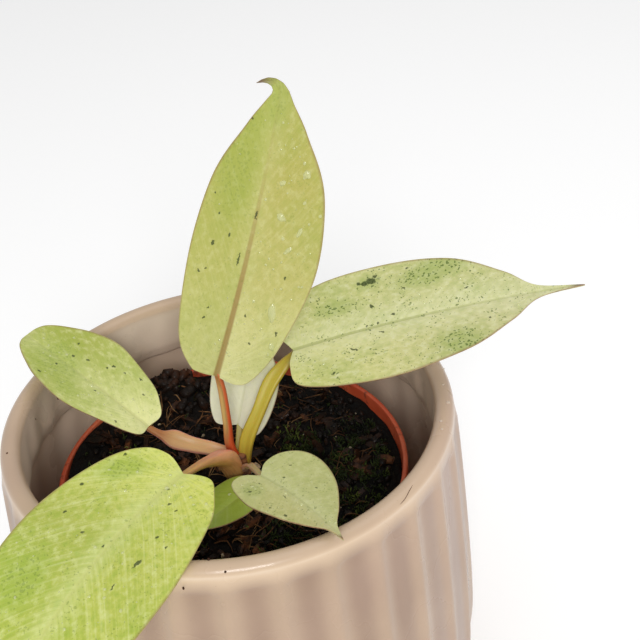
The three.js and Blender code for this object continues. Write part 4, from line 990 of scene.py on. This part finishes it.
def petioleMaterial(name, stalk, length):
    # Petiole skin: smooth and waxy, flushed pink or orange by the light, with fine lengthwise ribs
    material, tree, shader = newMaterial("petioleSkin." + name, IOR=1.42, Subsurface_Weight=0.15,
                                         Subsurface_Scale=0.0015, Coat_Weight=0.15, Coat_Roughness=0.25)
    stalkPlace = addNode(tree, "Attribute", attribute_name="stalkPlace").outputs["Vector"]
    across, place, facing = addNode(tree, "SeparateXYZ", {0: stalkPlace}).outputs
    share = addNode(tree, "Math", {0: place, 1: length}, operation="DIVIDE").outputs[0]
    ground = addNode(tree, "ValToRGB", {"Fac": share}, stops=evenStops(stalk["colours"])).outputs[0]
    stretched = addNode(tree, "Mapping", {"Vector": stalkPlace, "Scale": (2.2, 0.12, 1.5)}).outputs[0]
    ribs = addNode(tree, "TexNoise", {"Vector": stretched, "Scale": 1, "Detail": 4}).outputs["Fac"]  # 0.5 mm
    ribShade = addNode(tree, "MapRange", {0: ribs, 1: 0.35, 2: 0.7, 3: 0.0, 4: stalkSkin["ribShare"]})
    shaded = addNode(tree, "Mix", {0: ribShade.outputs[0], 6: ground, 7: linear(stalkSkin["ribs"])},
                     data_type="RGBA", blend_type="MULTIPLY").outputs[2]
    alongShare = addNode(tree, "ValToRGB", {"Fac": share}, stops=evenStops(stalk["innerShare"])).outputs[0]
    innerShare = addNode(tree, "MapRange", {0: facing, 1: 0.25, 2: 0.9, 3: 0.0, 4: alongShare}).outputs[0]
    inner = addNode(tree, "Mix", {0: innerShare, 6: shaded, 7: linear(stalk["inner"])},
                    data_type="RGBA").outputs[2]
    nearEdge = addNode(tree, "Math", {0: facing, 1: stalkSkin["edgeFacing"]}, operation="SUBTRACT").outputs[0]
    offEdge = addNode(tree, "Math", {0: nearEdge}, operation="ABSOLUTE").outputs[0]
    edgeShare = addNode(tree, "MapRange", {
        0: offEdge, 1: 0.12, 2: 0.45, 3: stalk["edgeShare"], 4: 0.0}).outputs[0]
    edged = addNode(tree, "Mix", {0: edgeShare, 6: inner, 7: linear(stalk["edge"])},
                    data_type="RGBA").outputs[2]
    tree.links.new(edged, shader.inputs["Base Color"])
    gloss = addNode(tree, "MapRange", {0: ribs, 1: 0.3, 2: 0.7, 3: 0.34, 4: 0.46}).outputs[0]
    tree.links.new(gloss, shader.inputs["Roughness"])
    bump = addNode(tree, "Bump", {"Height": ribs, "Strength": 0.35, "Distance": 0.0003})
    tree.links.new(bump.outputs[0], shader.inputs["Normal"])
    return material


def buildStalks(name, parts, material, node, sharpAngle):  # each part: its route, form and grid
    shape = bmesh.new()
    shape.verts.layers.float_vector.new("stalkPlace")
    for route, stalk, grid in parts:
        addStalk(shape, route, stalk, **grid)
    closeSeams(shape)
    newPiece(name, shape, [material], [node], sharpAngle=sharpAngle)


def buildPetiole(name, stalk):
    seat = bladePoint(leaves[name], midribOf(leaves[name]), bladeForm["seatReach"], 0, bladeForm["seatDepth"])
    route = [Vector(point) for point in stalk["route"]] + [seat - Vector((0, 0, rimHeight))]
    skin = petioleMaterial(name, stalk, routeLength(route))
    buildStalks("petiole." + name, [(route, stalk, {})], skin, "petiole_" + name, 70)


# The stem: short, with a corky node band and the papery rest of an old sheath

stem = {
    "axis": {"route": [(2.2, 0.2, -62), (2, 0, -40), (1.8, -0.2, -30), (1.9, 0, -21.5)],
             "widths": [4, 6, 6.8, 4.4], "depths": [4, 6, 6.8, 4.4],
             "face": (0, 1, 0), "channel": [0, 0, 0, 0], "grid": {"rows": 60}},
    "nodeRing": {"route": [(1.85, -0.2, -29.3), (1.85, -0.2, -27.3)],
                 "widths": [7.8, 7.8], "depths": [7.8, 7.8], "face": (0, 1, 0), "channel": [0, 0],
                 "grid": {"rows": 60, "capShare": 0.45}},
    "sheath": {"route": [(2.6, -0.4, -29), (6, -1, -28), (7.6, -1.2, -26.4)], "widths": [3.4, 3.2, 2.6],
               "depths": [2.4, 2, 1.1], "face": (0, -1, 0.4), "channel": [0.8, 1.3, 1.2],
               "colours": ["#D8CBA8", "#C8B08A", "#A8865E"],
               "inner": "#E2D8BC", "innerShare": [0.6, 0.6, 0.4], "edge": "#9A7450", "edgeShare": 0.6,
               "grid": {"rows": 50, "columns": 36, "capShare": 0.08}},
    "sheathLength": 8.2, "bark": ["#54301C", "#7A4A2A", "#9A7040"], "scar": "#45281A",
}


def stemMaterial():
    # Young stem: green-brown skin going corky, ringed by leaf scars
    material, tree, shader = newMaterial("stemSkin", IOR=1.4)
    place = addNode(tree, "TexCoord").outputs["Object"]
    squashed = addNode(tree, "Mapping", {"Vector": place, "Scale": (0.5, 0.5, 1.6)}).outputs[0]
    # the cork's grain is 1 mm high and 3 mm wide, and the scars lie 3 mm apart
    cork = addNode(tree, "TexNoise", {"Vector": squashed, "Scale": 600, "Detail": 5}).outputs["Fac"]
    tone = addNode(tree, "ValToRGB", {"Fac": cork},
                   stops=[(0.3 + 0.2 * i, c) for i, c in enumerate(stem["bark"])]).outputs[0]
    scars = addNode(tree, "TexWave", {"Vector": place, "Scale": 110, "Distortion": 3, "Detail": 2},
                    bands_direction="Z").outputs["Fac"]
    scarShare = addNode(tree, "MapRange", {0: scars, 1: 0.82, 2: 0.97, 3: 0.0, 4: 0.7}).outputs[0]
    scarred = addNode(tree, "Mix", {0: scarShare, 6: tone, 7: linear(stem["scar"])},
                      data_type="RGBA").outputs[2]
    tree.links.new(scarred, shader.inputs["Base Color"])
    gloss = addNode(tree, "MapRange", {0: cork, 1: 0.3, 2: 0.7, 3: 0.5, 4: 0.8}).outputs[0]
    tree.links.new(gloss, shader.inputs["Roughness"])
    bump = addNode(tree, "Bump", {"Height": cork, "Strength": 0.7, "Distance": 0.0004})
    tree.links.new(bump.outputs[0], shader.inputs["Normal"])
    return material


def buildStem():
    axis, ring, sheath = [(stem[part]["route"], stem[part], stem[part]["grid"])
                          for part in ("axis", "nodeRing", "sheath")]
    buildStalks("stemAxis", [axis, ring], stemMaterial(), "stem", 60)
    paper = petioleMaterial("driedSheath", stem["sheath"], stem["sheathLength"])
    buildStalks("driedSheath", [sheath], paper, "stem", 60)


# Water left on the leaves after misting

mist = {
    # for each leaf: along and across the blade in mm, width, length, and angle to the midrib
    "placed": {
        "upright": [(26.6, -11.9, 2.6, 6.8, 12), (57.9, -7.5, 2.4, 3.2, 60), (48, -11.9, 1.5, 3.6, -38),
                    (54.6, -14.1, 1.5, 3.6, -14), (72.7, -12.5, 2.6, 2.8, 0), (68.6, -5.8, 1.7, 2.4, -50),
                    (61.2, -19.1, 1.2, 1.4, 0), (15.5, -14.6, 2, 2.8, 20), (64, -13.6, 1.1, 1.6, -20),
                    (76, -11, 1, 1.4, 0), (51.5, -9.5, 1.2, 1.5, 10), (44, -6.8, 0.8, 1.1, 0)],
        "right": [(30, -12, 1.2, 1.6, 0), (44, 6, 1, 1.3, 0), (20, -6, 1.1, 1.2, 0)],
        "left": [(24, 1.5, 1.2, 1.5, 0), (39, -2.5, 1, 1.2, 0), (49.5, -2.5, 0.9, 1.1, 0),
                 (24, 8.5, 0.9, 1.1, 0), (22, 5.5, 0.8, 1, 0)],
        "front": [(4, -2, 1.1, 1.3, 0), (9, 0.5, 1.3, 1.7, 0), (6.5, 1.5, 1.1, 1.3, 0), (5.5, 3.5, 1, 1.2, 0),
                  (7.5, 8, 1.2, 1.4, 0), (18.5, 5, 1, 1.3, 0)],
        "heart": [(1, -7.5, 0.9, 1.1, 0), (23, -1, 1.1, 1.3, 0), (6, -6, 0.8, 1, 0)],
        "low": [(7.5, -3, 1.1, 1.4, 0)],
    },
    # how many small drops each leaf has besides, and the share of them on its left half
    "scattered": {"upright": (70, 0.2), "right": (60, 0.5), "left": (34, 0.5), "front": (80, 0.5),
                  "heart": (22, 0.5), "low": (0, 0.5)},
    # the water's colours are painted light: paler tints of the leaf and glaze beneath
    "smallest": 0.35, "largest": 1.1, "seed": 21, "litTintOnLeaf": "#E9EDB4", "litTintOnGlaze": "#EADCCB",
}


def waterMaterial(name, colour):
    # Still water: clear, so it shows by its glint; it is given the colour of what it lies on, painted paler
    # as light seen through the drop
    if name in bpy.data.materials:
        return bpy.data.materials[name]
    material, tree, shader = newMaterial(name, IOR=1.33, Alpha=0.42, Coat_Weight=1.0, Coat_Roughness=0.02)
    shader.inputs["Base Color"].default_value = linear(colour)
    place = addNode(tree, "TexCoord").outputs["Object"]
    drift = addNode(tree, "TexNoise", {"Vector": place, "Scale": 900}).outputs["Fac"]  # about 1 mm
    gloss = addNode(tree, "MapRange", {0: drift, 1: 0.3, 2: 0.7, 3: 0.02, 4: 0.07}).outputs[0]
    tree.links.new(gloss, shader.inputs["Roughness"])
    return material


def halfWidth(leaf, side, place):  # of the blade at a place along the midrib, in mm
    outline = [through(marginKnots(leaf, side), i / 60) for i in range(61)]
    nearest = min(outline[4:], key=lambda p: abs(p.x * leaf["length"] - place))
    return nearest.y * leaf["width"] / 2 * leaf["sides"][side]


def buildDroplets(name):
    leaf = leaves[name]
    midrib = midribOf(leaf)
    draw = random.Random(mist["seed"] + len(name))
    drops = list(mist["placed"][name])
    count, leftPart = mist["scattered"][name]
    for _ in range(count):
        place = leaf["length"] * draw.uniform(0.06, 0.86)
        half = 1 if draw.random() < leftPart else -1
        across = half * draw.uniform(0.08, 0.9) * halfWidth(leaf, 0 if half > 0 else 1, place)
        size = mix(mist["smallest"], mist["largest"], draw.random() ** 2.6)
        drops.append((place, across, size, size * draw.uniform(1, 1.5), draw.uniform(-40, 40)))
    shape = bmesh.new()
    for place, across, width, length, angle in drops:
        centre = bladePoint(leaf, midrib, place, across, 0)
        ahead = (bladePoint(leaf, midrib, place + 0.5, across, 0) - centre).normalized()
        left = (bladePoint(leaf, midrib, place, across + 0.5, 0) - centre).normalized()
        normal = ahead.cross(left).normalized()
        left = normal.cross(ahead)
        height = 0.32 * width ** 0.8
        spin = Matrix.Rotation(math.radians(angle), 4, "Z")
        turn = Matrix((ahead, left, normal)).transposed().to_4x4()
        scale = Matrix.Diagonal((length / 2, width / 2, height, 1))
        moved = Matrix.Translation((centre - normal * height * 0.25) * mm) @ Matrix.Scale(mm, 4) @ turn @ spin
        made = bmesh.ops.create_icosphere(shape, subdivisions=3 if width > 1.3 else 2, radius=1)["verts"]
        seed = Vector((place, across, 1))
        for vert in made:
            uneven = 1 + 0.16 * noise.noise(vert.co * 1.3 + seed) * min(width, 1.5)
            vert.co = moved @ (scale @ Vector((vert.co.x * uneven, vert.co.y * uneven, vert.co.z)))
    bmesh.ops.recalc_face_normals(shape, faces=shape.faces[:])
    newPiece("droplets." + name, shape, [waterMaterial("waterOnLeaf", mist["litTintOnLeaf"])],
             sharpAngle=180)


# What the potting left on the cover pot: crumbs of mix, drops of water and a hair crack in the glaze

rimMarks = {
    # angle from +x in degrees, radius, height from the rim's crest, size
    "crumbs": [(267, 69, -0.4, 1.2), (270.8, 73.1, -1.2, 0.9), (265.5, 68, -1.3, 0.8), (261.6, 74.9, -5, 0.8),
               (157, 67.3, -12, 1), (171, 67.3, -8, 0.8), (193, 71, 0, 0.8), (254, 71.2, 0, 0.7)],
    "drops": [(7.8, 73, -1.1, 1.2), (0, 70.9, 0, 1), (352.6, 71.8, -0.2, 1.4), (344.8, 70.1, 0, 1.1),
              (341.7, 71, 0, 0.9)],
    "crack": [(314, 73.3, -1.4), (316, 73.1, -1.2), (318.5, 72.5, -0.6), (320.7, 72, -0.35)],
    "crackWidth": 0.22, "spilt": ["#1C120C", "#4B3020", "#6B4A30"], "dirt": ["#5A3C28", "#8A6244"],
}


def onRim(angle, radius, height):
    radians = math.radians(angle)
    return Vector((radius * math.cos(radians), radius * math.sin(radians), rimHeight + height))


def buildRimMarks():
    draw = random.Random(pottingMix["seed"] + 6)
    shape = bmesh.new()
    for angle, radius, height, size in rimMarks["crumbs"]:
        addLump(shape, onRim(angle, radius, height), size, draw)
    newPiece("rimCrumbs", shape, [soilMaterial("spiltPeat", rimMarks["spilt"], 0.85)], sharpAngle=60)
    shape = bmesh.new()
    for angle, radius, height, size in rimMarks["drops"]:
        flat = Matrix.Diagonal((size / 2, size / 2, size * 0.22, 1))
        place = Matrix.Translation(onRim(angle, radius, height) * mm) @ Matrix.Scale(mm, 4) @ flat
        bmesh.ops.create_icosphere(shape, subdivisions=3, radius=1, matrix=place)
    newPiece("rimDrops", shape, [waterMaterial("waterOnGlaze", mist["litTintOnGlaze"])],
             sharpAngle=180)
    shape = bmesh.new()
    addStrands(shape, [([onRim(*point) for point in rimMarks["crack"]], rimMarks["crackWidth"])], steps=12)
    newPiece("glazeCrack", shape, [soilMaterial("crackDirt", rimMarks["dirt"], 0.8)],
             sharpAngle=70)


# The studio: white paper floor, a large box in front, a weak one above, and the photograph's camera

studio = {
    "paper": "#FFFFFF", "floorGlow": 0.1, "world": 0.6, "floorSize": 4,
    "lamps": [  # place in metres, width, height, watts
        ("frontBox", (0.1, -1.9, 1.4), 0.9, 0.7, 26), ("topBox", (0.4, 0.1, 1.1), 0.8, 0.8, 1.8),
    ],
    "aim": (0, 0, 0.12), "sensor": 36, "imagePixels": 640,
    "focalPixels": 1100, "pitch": 33.9, "tilt": -4.9, "cameraPlace": (0.0326, -0.285, 0.356),
}


def addSoftBox(name, place, width, height, watts):
    lamp = bpy.data.lights.new(name, "AREA")
    lamp.shape, lamp.size, lamp.size_y, lamp.energy = "RECTANGLE", width, height, watts
    holder = bpy.data.objects.new(name, lamp)
    holder.location = place
    holder.rotation_euler = (Vector(studio["aim"]) - Vector(place)).to_track_quat("-Z", "Y").to_euler()
    bpy.context.scene.collection.objects.link(holder)


def addFloor():
    shape = bmesh.new()
    bmesh.ops.create_grid(shape, x_segments=1, y_segments=1, size=studio["floorSize"])
    mesh = bpy.data.meshes.new("floor")
    shape.to_mesh(mesh)
    shape.free()
    material, tree, shader = newMaterial("whitePaper", Roughness=0.9, Emission_Strength=studio["floorGlow"])
    shader.inputs["Base Color"].default_value = linear(studio["paper"])
    shader.inputs["Emission Color"].default_value = linear(studio["paper"])
    mesh.materials.append(material)
    floor = bpy.data.objects.new("floor", mesh)
    bpy.context.scene.collection.objects.link(floor)


def addCamera():
    camera = bpy.data.cameras.new("camera")
    camera.sensor_width = studio["sensor"]
    camera.lens = studio["focalPixels"] * studio["sensor"] / studio["imagePixels"]
    pitch, tilt = math.radians(studio["pitch"]), math.radians(studio["tilt"])
    forward = Vector((0, math.cos(pitch), -math.sin(pitch)))
    right = Vector((1, 0, 0))
    up = right.cross(forward)
    across = right * math.cos(tilt) + up * math.sin(tilt)
    above = up * math.cos(tilt) - right * math.sin(tilt)
    holder = bpy.data.objects.new("camera", camera)
    holder.matrix_world = (Matrix.Translation(studio["cameraPlace"])
                           @ Matrix((across, above, -forward)).transposed().to_4x4())
    bpy.context.scene.collection.objects.link(holder)
    bpy.context.scene.camera = holder


def buildStudio():
    world = bpy.data.worlds.new("softStudio")
    world.use_nodes = True
    back = world.node_tree.nodes["Background"]
    back.inputs["Color"].default_value = linear(studio["paper"])
    back.inputs["Strength"].default_value = studio["world"]
    bpy.context.scene.world = world
    bpy.context.scene.view_settings.view_transform = "Standard"
    addFloor()
    for lamp in studio["lamps"]:
        addSoftBox(*lamp)
    addCamera()


buildCoverPot()
buildGrowingPot()
print("pots done")
buildSoilBody()
buildCrumbs()
buildBarkChips()
buildFibres()
buildMoss()
buildGrit()
buildRimMarks()
print("potting mix done")
for leafName in leaves:
    buildBlade(leafName, leaves[leafName])
    buildPetiole(leafName, petioles[leafName])
buildStem()
print("plant done")
for leafName in mist["placed"]:
    buildDroplets(leafName)
buildStudio()
print("water and studio done")
print("scene done")
